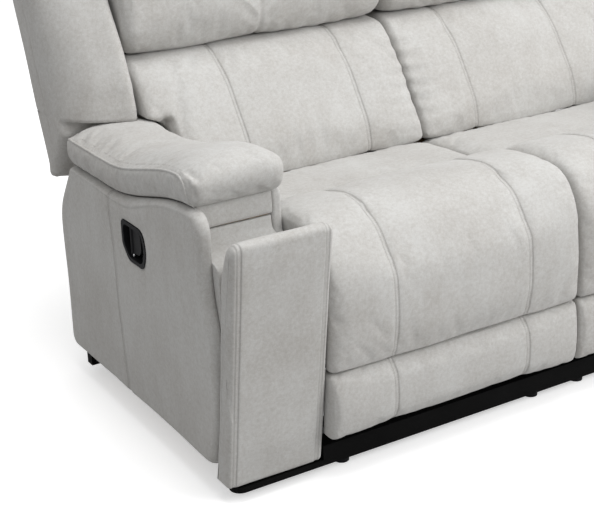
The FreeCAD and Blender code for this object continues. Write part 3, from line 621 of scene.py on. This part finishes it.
def stitches(name, paths, pitch=4.6, length=3.4, thick=0.45, proud=0.15):
    """Beads along paths of (points, normals): a loop of radius thick * sqrt(1 - s^2) at s along each."""
    s = np.array([-1.0, -0.55, 0.0, 0.55, 1.0])
    turn_at = np.linspace(0, 2 * np.pi, 6, endpoint=False)
    ring = np.sqrt(np.maximum(1 - s ** 2, 0.02))
    bead = np.stack([np.repeat(s * length / 2, 6), (ring[:, None] * np.cos(turn_at) * thick).ravel(),
                     (ring[:, None] * np.sin(turn_at) * thick).ravel()], 1) / 1000
    frames = []
    for points, normals in paths:
        if len(points) < 3:
            continue
        points = smooth_path(points)
        walked = np.concatenate([[0], np.cumsum(np.linalg.norm(np.diff(points, axis=0), axis=1))])
        at = np.arange(0, walked[-1], pitch / 1000)
        centre = np.stack([np.interp(at, walked, points[:, k]) for k in range(3)], 1)
        normal = np.stack([np.interp(at, walked, normals[:, k]) for k in range(3)], 1)
        along = np.gradient(centre, axis=0)
        along /= np.linalg.norm(along, axis=1, keepdims=True) + 1e-12
        side = np.cross(normal, along)
        side /= np.linalg.norm(side, axis=1, keepdims=True) + 1e-12
        over = np.cross(along, side)
        centre = centre + over * proud / 1000
        frames.append((centre[:, None] + bead[None, :, :1] * along[:, None]
                       + bead[None, :, 1:2] * side[:, None] + bead[None, :, 2:] * over[:, None]))
    beads = np.concatenate(frames)
    number = len(beads)
    i, j = np.meshgrid(np.arange(4), np.arange(6), indexing="ij")
    quads = np.stack([i * 6 + j, i * 6 + (j + 1) % 6, (i + 1) * 6 + (j + 1) % 6, (i + 1) * 6 + j], -1)
    quads = quads.reshape(-1, 4)
    faces = (quads[None] + np.arange(number)[:, None, None] * 30).reshape(-1, 4).tolist()
    caps = np.array([[5, 4, 3, 2, 1, 0], [24, 25, 26, 27, 28, 29]])
    faces += (caps[None] + np.arange(number)[:, None, None] * 30).reshape(-1, 6).tolist()
    mesh = bpy.data.meshes.new(name)
    mesh.from_pydata(beads.reshape(-1, 3), [], faces)
    piece = add_piece(name, mesh, thread)
    print(name, number, "stitches")
    return piece


def seam_rows(piece, places, loop, outward, visible, gap=SEAM_GAP):
    """Two rows of ray hits for each seam place, along the part of a loop where visible is true."""
    chosen = visible(loop)
    order = np.nonzero(chosen)[0]
    jump = np.nonzero(np.diff(order) > 1)[0]
    if len(jump):
        order = np.roll(order, -(jump[0] + 1))
    rows = []
    for place in places:
        for side in (-gap, gap):
            x = np.full(len(order), place + side)
            starts = np.stack([x, *(loop[order] + outward[order] * 60).T], 1)
            aims = np.stack([np.zeros(len(order)), *(-outward[order]).T], 1)
            rows.append(on_surface(piece, starts, aims))
    return rows


def tube(name, path, radius, material, sides=10):
    """A round cord along a path of metres: rings of points square to the path."""
    along = np.gradient(path, axis=0)
    along /= np.linalg.norm(along, axis=1, keepdims=True)
    side = np.cross(along, np.array([0.31, 0.87, 0.38]))
    side /= np.linalg.norm(side, axis=1, keepdims=True)
    over = np.cross(along, side)
    turn_at = np.linspace(0, 2 * np.pi, sides, endpoint=False)
    ring = np.cos(turn_at)[None, :, None] * side[:, None] + np.sin(turn_at)[None, :, None] * over[:, None]
    grid = (path[:, None] + ring * radius / 1000) * 1000
    grid[..., 1] -= FRONT * 1000
    return add_piece(name, mesh_from_grid(name, grid), material)


# %% [markdown]
# The seat is one cushion with two characters: a flat deck behind, and a fuller roll that stands
# above it, turns over the front edge and hangs down to the footrest. Two double seams run from the
# crease over the roll. It could be two meshes that meet at the crease, but one outline with the deck,
# the crease, the roll and its hanging front leaves no gap there. Only the crease and the edges are
# pinned, so the seams lie nearly flush, as they do on the real cushion.

# %% Seat cushions
SIDE = 1.5
SEAT_SEAMS = (LEFT + 130, -130)
SEAT_CORNERS = [(492, 334, 4), (0, 334, 4), (0, 210, 4), (-38, 209, 20), (-40, 300, 90), (-29, 400, 90),
                (12, 457, 90), (75, 464, 90), (140, 459, 90), (212, 444, 40), (238, 414, 16),
                (330, 413, 90), (440, 404, 60), (492, 392, 20)]


def seat_cushion():
    """A side outline carried across the seat, fuller between the seams, then filled and creased."""
    places, draw = stations(LEFT + SIDE, -SIDE, 17, 90)
    full = billow(places, (LEFT + SIDE, *SEAT_SEAMS, -SIDE), 3.0)
    loop, outward = outline(SEAT_CORNERS, 260)
    on_roll = np.clip((260 - loop[:, 0]) / 60, 0, 1) * (loop[:, 1] > 340)
    on_front = (loop[:, 0] < -20) * 0.8
    lift = full[:, None] * np.maximum(on_roll, on_front)[None]
    open_side = np.where(outward[:, 1] < -0.6, 0.2, 1.0)[None]
    piece, loop, outward = across_seat("left_seat_cushion_cover", SEAT_CORNERS, places,
                                       lift - draw[:, None] * open_side, cloth_seat, 260)

    def sewn(p):
        side = np.minimum(p[:, 0] - LEFT, -p[:, 0])
        hidden = (p[:, 1] > -8) & (p[:, 2] < 345) | (p[:, 2] < 214)
        crease = (np.abs(p[:, 1] - 238) < 7) & (p[:, 2] > 400)
        return (side < 9) | hidden | crease | (p[:, 1] > 470)

    fill(piece, sewn, 6.8, 10.0)

    def shape(p):
        seam = np.min([np.abs(p[:, 0] - s) for s in SEAT_SEAMS], axis=0)
        on_roll_now = np.clip((245 - p[:, 1]) / 30, 0, 1) * (p[:, 2] > 215)
        crease = groove(p[:, 1] - 238, 6.0, 8.0) * (p[:, 2] > 395)
        edge = np.minimum(p[:, 0] - LEFT, -p[:, 0])
        soft = ripples(p, 4, 0.9, 90, 260) + puckers(p[:, 0], p[:, 1] - 244, 5, 0.8, 26) * (p[:, 2] > 395)
        return groove(seam, 1.8, 5.5) * on_roll_now + crease + soft * np.clip(edge / 25, 0, 1)

    press(piece, shape)
    rows = seam_rows(piece, SEAT_SEAMS, loop, outward,
                     lambda p: (p[:, 0] < 232) & (p[:, 1] > 216) & ((p[:, 1] > 345) | (p[:, 0] < -20)))
    finish_pair(stitches("left_seat_stitches", rows), "seat")
    finish_pair(piece, "seat", ("seat_cushion",))


seat_cushion()

# %% [markdown]
# The footrest's pad closes the front below the roll when it is shut, so its seams carry on in line
# with the seat's. It is a thin board with foam on the outside. The cover wraps the board, as real ones
# are stapled behind it, so this one piece stands for both the pad and the board.

# %% Footrest pads
REST_CORNERS = [(4.4, 80, 5), (4.4, 206, 5), (-34, 206, 18), (-42, 143, 90), (-35, 80, 20)]


def footrest_pad():
    """A thin outline carried across the seat, fuller in front, then filled."""
    places, draw = stations(LEFT + SIDE, -SIDE, 11, 80)
    full = billow(places, (LEFT + SIDE, *SEAT_SEAMS, -SIDE), 2.5)
    loop, outward = outline(REST_CORNERS, 110)
    front = (loop[:, 0] < -20) * 1.0
    open_side = np.where(np.abs(outward[:, 1]) > 0.7, 0.35, 1.0)[None]
    piece, loop, outward = across_seat("left_footrest_cover", REST_CORNERS, places,
                                       full[:, None] * front[None] - draw[:, None] * open_side,
                                       cloth_seat, 110)

    def sewn(p):
        side = np.minimum(p[:, 0] - LEFT, -p[:, 0])
        return (side < 8) | (p[:, 1] > -16)

    fill(piece, sewn, 5.0, 5.0)

    def shape(p):
        seam = np.min([np.abs(p[:, 0] - s) for s in SEAT_SEAMS], axis=0)
        return (groove(seam, 1.5, 5.0) + ripples(p, 9, 0.5, 60, 170)) * (p[:, 1] < -24)

    press(piece, shape)
    rows = seam_rows(piece, SEAT_SEAMS, loop, outward, lambda p: (p[:, 0] < -30))
    finish_pair(stitches("left_footrest_stitches", rows), "footrest")
    finish_pair(piece, "footrest", ("footrest_pad", "footrest_board"))


footrest_pad()

# %% [markdown]
# The back has two cushions. The lumbar cushion swells forwards above the deck and has two double
# seams. The head cushion lies over its top with a single seam in the middle and a plump rounded top.
# Both pass behind the arm's pad on the outer side, where the lumbar cushion is cut short.

# %% Back cushions
BACK_LEFT = OUTSIDE + 144
LUMBAR_SEAMS = (LEFT + 139, -139)


def rear_face(z):
    """The back's rear face leans by 0.36 of the height above 250."""
    return 664 + (z - 250) * 0.36


def cushion_plane(z):
    """The plane that the back's cushions rest on, 47 in front of the rear face."""
    return rear_face(z) - 47


def lumbar_cushion():
    """A side outline carried across the back, cut to clear the arm, then filled and puckered."""
    places, draw = stations(BACK_LEFT, -SIDE, 15, 110)
    corners = [(cushion_plane(399), 400, 4), (cushion_plane(632), 632, 6), (646, 637, 26), (598, 628, 60),
               (550, 576, 90), (463, 446, 70), (449, 408, 26), (474, 399, 18)]
    full = billow(places, (BACK_LEFT, *LUMBAR_SEAMS, -SIDE), 4.0)
    loop, outward = outline(corners, 220)
    front = np.clip((cushion_plane(loop[:, 1]) - loop[:, 0] - 40) / 60, 0, 1)
    piece, loop, outward = across_seat("left_lumbar_cover", corners, places,
                                       full[:, None] * front[None] - draw[:, None], cloth_lumbar, 220)
    mesh = piece.data
    points = coordinates(mesh)
    over_arm = workshop(points.copy())
    low = (over_arm[:, 0] < LEFT + 1) & (over_arm[:, 2] < 537)
    lifted = points.copy()
    shoulder = np.clip((over_arm[low, 0] - BACK_LEFT) / (LEFT - BACK_LEFT), 0, 1)
    lifted[low, 2] = (536 - 22 * shoulder ** 2 - (537 - over_arm[low, 2]) * 0.01) / 1000
    shelf = np.clip((over_arm[low, 1] - 440) / 230, 0, 1)
    lifted[low, 1] = (522 + shelf * 160) / 1000 + FRONT
    write(mesh, lifted)

    def sewn(p):
        side = np.minimum(p[:, 0] - BACK_LEFT, -p[:, 0])
        behind = p[:, 1] > cushion_plane(p[:, 2]) - 45
        foot = (p[:, 2] < 404) | (p[:, 0] < LEFT + 8) & (p[:, 2] < 540)
        return (side < 9) | behind | foot | (p[:, 2] > 631)

    fill(piece, sewn, 6.8, 10.0)

    def shape(p):
        seam = np.min([np.abs(p[:, 0] - s) for s in LUMBAR_SEAMS], axis=0)
        side = np.minimum(p[:, 0] - BACK_LEFT, -p[:, 0])
        front = p[:, 1] < cushion_plane(p[:, 2]) - 30
        folds = (puckers(p[:, 2], p[:, 0] + 2, 21, 2.2, 40, 30)
                 + puckers(p[:, 2], p[:, 0] - BACK_LEFT, 22, 1.8, 30, 36))
        folds += puckers(p[:, 0], 645 - p[:, 2], 23, 0.9, 22, 44)
        folds *= np.clip(side / 12, 0, 1)
        return (groove(seam, 1.9, 5.5) + folds + ripples(p, 13, 1.0, 80, 240)) * front

    press(piece, shape)
    rows = seam_rows(piece, LUMBAR_SEAMS, loop, outward,
                     lambda p: (p[:, 0] < cushion_plane(p[:, 1]) - 60) & (p[:, 1] > 405))
    finish_pair(stitches("left_lumbar_stitches", rows), "back")
    finish_pair(piece, "back", ("lumbar_cushion",))


def head_cushion():
    """A side outline set off from the leaning rear face by shares of its height."""
    places, draw = stations(BACK_LEFT, -SIDE, 26, 100)
    line, top = 643, 996
    corners = [(cushion_plane(line), line, 6), (rear_face(line) - 180, line, 30)]
    for share, ahead_of in ((0.11, 226), (0.35, 243), (0.65, 230)):
        z = line + share * (top - line)
        corners.append((rear_face(z) - ahead_of, z, 95))
    corners += [(rear_face(top) - 168, top - 36, 90), (rear_face(top) - 86, top - 6, 60),
                (rear_face(top - 15) - 5, top - 14, 18), (rear_face(965) - 4, 963, 6),
                (cushion_plane(963), 963, 4)]
    middle = (BACK_LEFT - SIDE) / 2
    full = billow(places, (BACK_LEFT, middle, -SIDE), 5.0)
    loop, outward = outline(corners, 240)
    front = np.clip((cushion_plane(loop[:, 1]) - loop[:, 0] + 30) / 90, 0, 1)
    piece, loop, outward = across_seat("left_head_cover", corners, places,
                                       full[:, None] * front[None] - draw[:, None], cloth, 240)

    def sewn(p):
        side = np.minimum(p[:, 0] - BACK_LEFT, -p[:, 0])
        behind = ((p[:, 1] > cushion_plane(p[:, 2]) - 20) & (p[:, 2] < 960)
                  | (p[:, 1] > rear_face(p[:, 2]) - 30))
        return (side < 9) | behind | (np.abs(p[:, 0] - middle) < 4) | (p[:, 2] < 647)

    fill(piece, sewn, 7.0, 15.0)

    def shape(p):
        side = np.minimum(p[:, 0] - BACK_LEFT, -p[:, 0])
        front = np.clip((cushion_plane(p[:, 2]) - p[:, 1] + 10) / 40, 0, 1)
        folds = puckers(p[:, 2] + p[:, 1], p[:, 0] + 2, 31, 2.6, 46, 34)
        folds += puckers(p[:, 2] + p[:, 1], p[:, 0] - BACK_LEFT, 32, 2.6, 40, 30)
        folds += puckers(p[:, 0], p[:, 2] - 650, 33, 1.2, 30, 52)
        folds *= np.clip(side / 12, 0, 1)
        return (groove(p[:, 0] - middle, 3.4, 5.0) + folds + ripples(p, 17, 1.3, 90, 260)) * front

    press(piece, shape)
    rows = seam_rows(piece, (middle,), loop, outward,
                     lambda p: (p[:, 0] < cushion_plane(p[:, 1]) + 10) & (p[:, 1] > 652), gap=2.4)
    finish_pair(stitches("left_head_stitches", rows), "back")
    finish_pair(piece, "back", ("head_cushion",))


lumbar_cushion()
head_cushion()

# %% [markdown]
# Outside the cushions the back is a padded shell. Its side wing is drawn level by level: at each
# height the wing's section has an outer and an inner front edge, and below the arm pad it steps back
# behind it. A thin leaning panel closes the rear.

# %% Back shell and wings
WING_LEVELS = np.array([
    # height, outer edge, inner edge
    (400, 704, 668), (440, 674, 652), (505, 630, 624), (530, 640, 618), (534, 640, 545), (556, 648, 545),
    (600, 667, 556), (680, 694, 600), (757, 724, 642), (850, 766, 712), (880, 788, 742), (925, 826, 792),
    (950, 856, 832),
])

WING_SEAM = 62


def back_wing():
    """Sections (x, y) of a wing at each height z, drawn in at both ends like a quarter circle."""
    heights = np.concatenate([np.linspace(400, 530, 24), np.linspace(534, 958, 60)])
    a = np.clip((heights - 400) / 14, 0, 1)
    b = np.clip((958 - heights) / 26, 0, 1)
    draw = 12 * (1 - np.sqrt(1 - (1 - a) ** 2)) + 22 * (1 - np.sqrt(1 - (1 - b) ** 2))
    grid = []
    for z, d in zip(heights, draw):
        outer = np.interp(z, WING_LEVELS[:, 0], WING_LEVELS[:, 1])
        inner = np.interp(z, WING_LEVELS[:, 0], WING_LEVELS[:, 2])
        rear = rear_face(z)
        x0, x1 = OUTSIDE + 6 + d, OUTSIDE + 138
        section = [(x0, outer + d, 40), (x0 + 45, (outer + inner) / 2 + d - 6, 60),
                   (x1, inner + d, 26), (x1, rear, 2),
                   (x0, rear - d / 2, 22)]
        loop, _ = outline(section, 150)
        grid.append(np.column_stack([loop, np.full(len(loop), z)]))
    piece = add_piece("left_wing_cover", mesh_from_grid("left_wing_cover", np.array(grid)), cloth)

    def shape(p):
        from_seam = rear_face(p[:, 2]) - WING_SEAM - p[:, 1]
        return ripples(p, 41, 0.8, 90, 260) + groove(from_seam, 2.0, 5.0) * (p[:, 0] < OUTSIDE + 40)

    press(piece, shape)
    z = np.linspace(548, 925, 90)
    rows = []
    for side in (-2.6, 2.6):
        rows.append(from_outside(piece, rear_face(z) - WING_SEAM + side, z))
    finish_pair(stitches("left_wing_stitches", rows), "back")
    finish_pair(piece, "back", ("back_shell",))


def back_panel():
    """Two leaning plates, 18 mm thick, that close the rear above and below the arm's top."""
    def leaning(z0, z1):
        return [(rear_face(z0), z0, 10), (rear_face(z1), z1, 12), (rear_face(z1) - 18, z1, 3),
                (rear_face(z0) - 18, z0, 3)]

    for name, z0, z1, x0 in (("left_back_cover_upper", 400, 957, OUTSIDE + 128),
                             ("left_back_cover_lower", 253, 403, LEFT + 1.6)):
        places, draw = stations(x0, -SIDE, 6, 60)
        piece, _, _ = across_seat(name, leaning(z0, z1), places, -draw[:, None], cloth, 160)
        press(piece, lambda p: ripples(p, 43, 0.5, 120, 300))
        finish_pair(piece, "back", ("back_shell",))


back_wing()
back_panel()

# %% [markdown]
# The arm's pad is a long pillow that follows the arm's wave: high and thick in front, low behind.
# Its top cover wraps the front and the inner side. The outer side has its own strip, joined to the
# top by a piped seam that turns down at the front corner.

# %% Arm pads
PAD_FRONT, PAD_REAR = 96, 600


def arm_line(y):
    """The line under the pad: 455, rising by 57 in half a cosine wave towards the front."""
    share = np.clip((np.asarray(y, float) - PAD_FRONT) / 334, 0, 1)
    return 455 + 57 * (1 + np.cos(np.pi * share)) / 2


def arm_pad():
    """One section carried along the arm's wave, drawn in at both ends by quarter circles."""
    outer, inner = OUTSIDE + 1, LEFT - 1.5
    section = [(outer + 10, 0, 12), (outer - 1, 28, 30), (outer + 2, 55, 12), (outer + 45, 69, 60),
               ((outer + inner) / 2, 73, 90), (inner - 34, 71, 50), (inner, 58, 22), (inner, 22, 30),
               (inner - 9, 0, 14)]
    loop, outward = outline(section, 150)
    loop[:, 1] += 0.6
    places, _ = stations(PAD_FRONT - 22, PAD_REAR + 9, 26, 90)
    near = np.clip((places - places[0]) / 30, 0, 1)
    far = np.clip((places[-1] - places) / 16, 0, 1)
    draw = 27 * (1 - np.sqrt(1 - (1 - near) ** 2)) + 17 * (1 - np.sqrt(1 - (1 - far) ** 2))
    moved = loop[None] - outward[None] * draw[:, None, None]
    grid = np.stack([moved[..., 0], np.broadcast_to(places[:, None], moved.shape[:2]),
                     moved[..., 1] + arm_line(places)[:, None]], -1)
    piece = add_piece("left_arm_pad_cover", mesh_from_grid("left_arm_pad_cover", grid), cloth)

    def sewn(p):
        over = p[:, 2] - arm_line(p[:, 1])
        piped = (np.abs(over - 55) < 4) & (p[:, 0] < OUTSIDE + 8)
        return (over < 5) | piped

    fill(piece, sewn, 5.0, 7.0, 3.0)
    press(piece, lambda p: (ripples(p, 51, 0.8, 70, 200)
                            * np.clip((p[:, 2] - arm_line(p[:, 1])) / 12, 0, 1)))
    y = np.concatenate([np.linspace(596, 104, 90)[:84],
                        np.interp(np.arange(84, 106), [84, 90, 105], [124, 97, 92])])
    over = np.concatenate([np.full(84, 54.0), [54, 53], np.linspace(53, 5, 20)])
    path, _ = from_outside(piece, y, arm_line(y) + over)
    cord = tube("left_arm_piping", smooth_path(path, 6), 2.4, cloth)
    finish_pair(cord, "base")
    rows = from_outside(piece, y[:86], (arm_line(y) + over)[:86] + 7)
    finish_pair(stitches("left_arm_pad_stitches", [rows]), "base")
    finish_pair(piece, "base", ("arm_pad",))


arm_pad()

# %% [markdown]
# The arm's outer panel is a padded board with the release handle let into it. Its surface runs from
# the panel's outline in to the handle's opening, turns through the opening, comes back over the
# hidden face and meets itself at the outline, so one grid that closes both ways makes it.

# %% Outer panels
CUP = (313.0, 383.0)
PANEL_DEPTH, PANEL_EDGE = 22.6, 16


def cup_outline(count):
    """The rounded, slightly pointed oval of the handle's opening, as (y, z) points."""
    corners = [(363, 421, 14), (273, 421, 30), (263, 383, 40), (276, 345, 20), (339, 345, 26),
               (363, 372, 24)]
    return outline(corners, count)[0]


def by_angle(loop, angles):
    """The points of a loop at given angles round the handle's middle."""
    own = np.unwrap(np.arctan2(loop[:, 1] - CUP[1], loop[:, 0] - CUP[0]))
    if own[-1] < own[0]:
        own, loop = own[::-1], loop[::-1]
    own = np.concatenate([own - 2 * np.pi, own, own + 2 * np.pi])
    tripled = np.vstack([loop, loop, loop])
    return np.stack([np.interp(angles, own, tripled[:, k]) for k in (0, 1)], 1)


def outer_panel():
    """Loops from the rim over a quarter-round edge to the opening, and back over the hidden face."""
    y = np.linspace(PAD_REAR, PAD_FRONT, 24)
    corners = [(671, 52, 24), (671, 350, 40)] + [(a, b - 0.6, 6) for a, b in zip(y, arm_line(y))]
    corners += [(66, 511, 20), (50, 488, 24), (56, 390, 60), (30, 295, 80), (24, 170, 80), (52, 52, 24)]
    loop, _ = outline(corners, 900)
    own = np.unwrap(np.arctan2(loop[:, 1] - CUP[1], loop[:, 0] - CUP[0]))
    angles = np.sort(own)[:: 3]
    rim = by_angle(loop, angles)
    hole = by_angle(cup_outline(300), angles)
    span = np.linalg.norm(rim - hole, axis=1)
    a = np.linspace(0, np.pi / 2, 9)
    hidden = np.full(len(rim), OUTSIDE + PANEL_DEPTH)
    grid = [np.column_stack([hidden, rim])]
    inward = (hole - rim) / span[:, None]
    for draw, x in zip(PANEL_EDGE * (1 - np.cos(a)), PANEL_EDGE * (1 - np.sin(a))):
        grid.append(np.column_stack([np.full(len(rim), OUTSIDE + x), rim + inward * draw]))
    start = rim + inward * PANEL_EDGE
    for t in np.linspace(0.06, 1, 46):
        centre = start + (hole - start) * t
        bulge = 2.2 * np.sin(np.pi * min(t, 0.999)) ** 0.7 if t < 1 else 0
        grid.append(np.column_stack([np.full(len(rim), OUTSIDE + 1.6 - bulge), centre]))
    for t in (0, 0.35, 0.7):
        grid.append(np.column_stack([hidden, hole + (rim - hole) * t]))
    mesh = mesh_from_grid("left_side_cover", np.array(grid), wrap=True)
    piece = add_piece("left_side_cover", mesh, cloth_side)

    def shape(p):
        across = ((p[:, 1] - 390) * (452 - 42) - (p[:, 2] - 42) * (413 - 390)) / 411
        inside = p[:, 0] < OUTSIDE + 14
        return (groove(across, 1.8, 6.0) + ripples(p, 61, 0.7, 90, 280)) * inside

    press(piece, shape)
    t = np.linspace(0, 1, 100)
    rows = []
    for side in (-SEAM_GAP, SEAM_GAP):
        rows.append(from_outside(piece, 390 + 22.5 * t + side, 46 + 403 * t))
    finish_pair(stitches("left_side_stitches", rows), "base")
    finish_pair(piece, "base", ("arm_outer_panel",))


outer_panel()

# %% [markdown]
# In front of the arm a padded board leans forward and leaves a narrow recess behind its top. The
# recess shows the arm's core with its small shelf, the strip under the pad and the rounded end of the
# inner panel. All four are outlines carried across the arm, which keeps their sides straight as on
# upholstered board, with softly rounded edges. The front board's top corners are rounded off after.

# %% Arm fronts, cores, risers and inner panels


def arm_front():
    """A leaning outline across the arm: crowned face, rounded top corners, boxed edges."""
    corners = [(0, 32, 9), (-65, 497, 15), (-38, 497, 15), (-20, 451, 30), (-4, 344, 60), (22, 165, 60),
               (47, 33, 8)]
    places, draw = stations(OUTSIDE, LEFT - 0.3, 11, 70)
    loop, outward = outline(corners, 240)
    t = (places - places[0]) / (places[-1] - places[0])
    full = 3.6 * (4 * t * (1 - t)) ** 0.7
    face = (loop[:, 0] < -65 * (loop[:, 1] - 31) / 465 + 6) * np.clip((loop[:, 1] - 45) / 60, 0, 1)
    face *= np.clip((492 - loop[:, 1]) / 40, 0, 1)
    piece, loop, outward = across_seat("left_arm_front_cover", corners, places,
                                       full[:, None] * face[None] - draw[:, None], cloth_boxed, 240)
    points = coordinates(piece.data)
    p = workshop(points.copy())
    beyond = np.clip((np.abs(p[:, 0] - (OUTSIDE + LEFT) / 2) - 72) / 23, 0, 1)
    points[:, 2] -= 0.013 * (1 - np.sqrt(1 - beyond ** 2)) * np.clip((p[:, 2] - 430) / 60, 0, 1)
    points[:, 1] += 0.003 * beyond ** 2 * (p[:, 1] < -20)
    write(piece.data, points)

    def boxed(p):
        edge = np.minimum(np.abs(p[:, 0] - OUTSIDE - 12), np.abs(p[:, 0] - LEFT + 13.5))
        front = p[:, 1] < -65 * (p[:, 2] - 31) / 465 + 8
        return groove(edge, 1.6, 3.5) * front + ripples(p, 71, 0.6, 90, 240)

    press(piece, boxed)
    rows = []
    face = (loop[:, 0] < -65 * (loop[:, 1] - 31) / 465 + 6) & (loop[:, 1] > 40) & (loop[:, 1] < 476)
    order = np.nonzero(face)[0]
    for place in (OUTSIDE + 12, LEFT - SIDE - 12):
        x = np.full(len(order), place)
        starts = np.stack([x, *(loop[order] + outward[order] * 60).T], 1)
        aims = np.stack([np.zeros(len(order)), *(-outward[order]).T], 1)
        rows.append(on_surface(piece, starts, aims))
    finish_pair(stitches("left_arm_front_stitches", rows), "base")
    finish_pair(piece, "base", ("arm_front_slab",))


def plain_cover(name, node_name, corners, x0, x1, edge, seed, count=160):
    """An outline carried from x0 to x1 with rounded ends, made slightly uneven."""
    places, draw = stations(x0, x1, edge, 40)
    piece, _, _ = across_seat(name, corners, places, -draw[:, None], cloth, count)
    press(piece, lambda p: ripples(p, seed, 0.4, 60, 160))
    finish_pair(piece, "base", (node_name,))


arm_front()
INSIDE = (OUTSIDE + 23.6, LEFT - SIDE - 20.6)
plain_cover("left_arm_core_cover", "arm_front_core",
            [(111.5, 53, 4), (111.5, 466.5, 3), (107, 466.5, 3), (103, 441, 8), (66, 432, 30),
             (33, 422, 14), (28, 170, 50), (51, 53, 8)], *INSIDE, 1.5, 81)
line_y = np.linspace(159, 104, 5)
plain_cover("left_arm_riser_cover", "arm_riser",
            [(101, 467.5, 10), (160, 467.5, 4)]
            + [(a, b - 0.8, 3) for a, b in zip(line_y, arm_line(line_y))],
            *INSIDE, 1.5, 82, 120)
panel_y = np.linspace(600, 120, 16)
plain_cover("left_arm_inside_cover", "arm_inner_panel",
            [(655, 52.5, 12), (655, 341, 20)]
            + [(a, b - 0.8, 6) for a, b in zip(panel_y, arm_line(panel_y))]
            + [(105, 509, 12), (104, 430, 14), (62, 418, 16), (58, 52.5, 10)],
            LEFT - SIDE - 20, LEFT - SIDE, 7, 83, 260)

# %% [markdown]
# The photograph doesn't show the rear of an arm. On such sofas the cover is stapled round the rear
# post, so a plain strip closes the space between the outer and the inner panel there.

# %% Arm rears
strip = [(656.5, 56, 2), (656.5, 338, 2), (666, 338, 5), (667, 56, 5)]
places, draw = stations(OUTSIDE + 24, LEFT - 22.5, 3, 24)
strip_cover, _, _ = across_seat("left_arm_rear_cover", strip, places, -draw[:, None], cloth, 90)
finish_pair(strip_cover, "base")

# %% [markdown]
# The room is a plain floor under soft studio light. One large lamp in front and to the right is the
# window, a second hangs above, and the world fills the shadows evenly. The floor is pale where the
# camera or a reflection sees it and darker to all other light, so that it doesn't light the sofa from
# below. It still takes the sofa's shadow.

# %% Floor
mesh = bpy.data.meshes.new("floor")
mesh.from_pydata([(-9, -9, 0), (9, -9, 0), (9, 9, 0), (-9, 9, 0)], [], [(0, 1, 2, 3)])
floor = bpy.data.objects.new("floor", mesh)
scene.collection.objects.link(floor)
floor_finish, tree, shader = new_material("floor", Roughness=0.9, Specular_IOR_Level=0.1)
lit_path = tree.nodes.new("ShaderNodeLightPath")
direct = Value(tree, lit_path.outputs["Is Camera Ray"]) + Value(tree, lit_path.outputs["Is Glossy Ray"])
connect(tree, shader.inputs["Base Color"], blend(tree, direct, (0.42, 0.42, 0.42, 1), (0.92, 0.92, 0.92, 1)))
connect(tree, shader.inputs["Emission Color"], blend(tree, direct, (0, 0, 0, 1), (0.42, 0.42, 0.42, 1)))
shader.inputs["Emission Strength"].default_value = 1.0
mesh.materials.append(floor_finish)


# %% Lamps and world
def lamp(name, place, aim, size, power):
    """A round area lamp at a place, aimed at a point."""
    data = bpy.data.lights.new(name, "AREA")
    data.shape, data.size, data.energy = "DISK", size, power
    lit = bpy.data.objects.new(name, data)
    scene.collection.objects.link(lit)
    lit.location = place
    lit.rotation_euler = (Vector(aim) - Vector(place)).to_track_quat("-Z", "Y").to_euler()


lamp("window", (1.9, -3.2, 2.3), (0, 0, 0.5), 2.3, 92)
lamp("ceiling", (-0.1, -0.5, 3.8), (0, 0, 0.4), 2.6, 66)
world = bpy.data.worlds.new("studio")
scene.world = world
world.use_nodes = True
tree = world.node_tree
background = tree.nodes["Background"]
seen = Value(tree, tree.nodes.new("ShaderNodeLightPath").outputs["Is Camera Ray"])
background.inputs["Color"].default_value = (1, 1, 1, 1)
connect(tree, background.inputs["Strength"], seen * 0.38 + 0.62)
scene.view_settings.view_transform = "Standard"
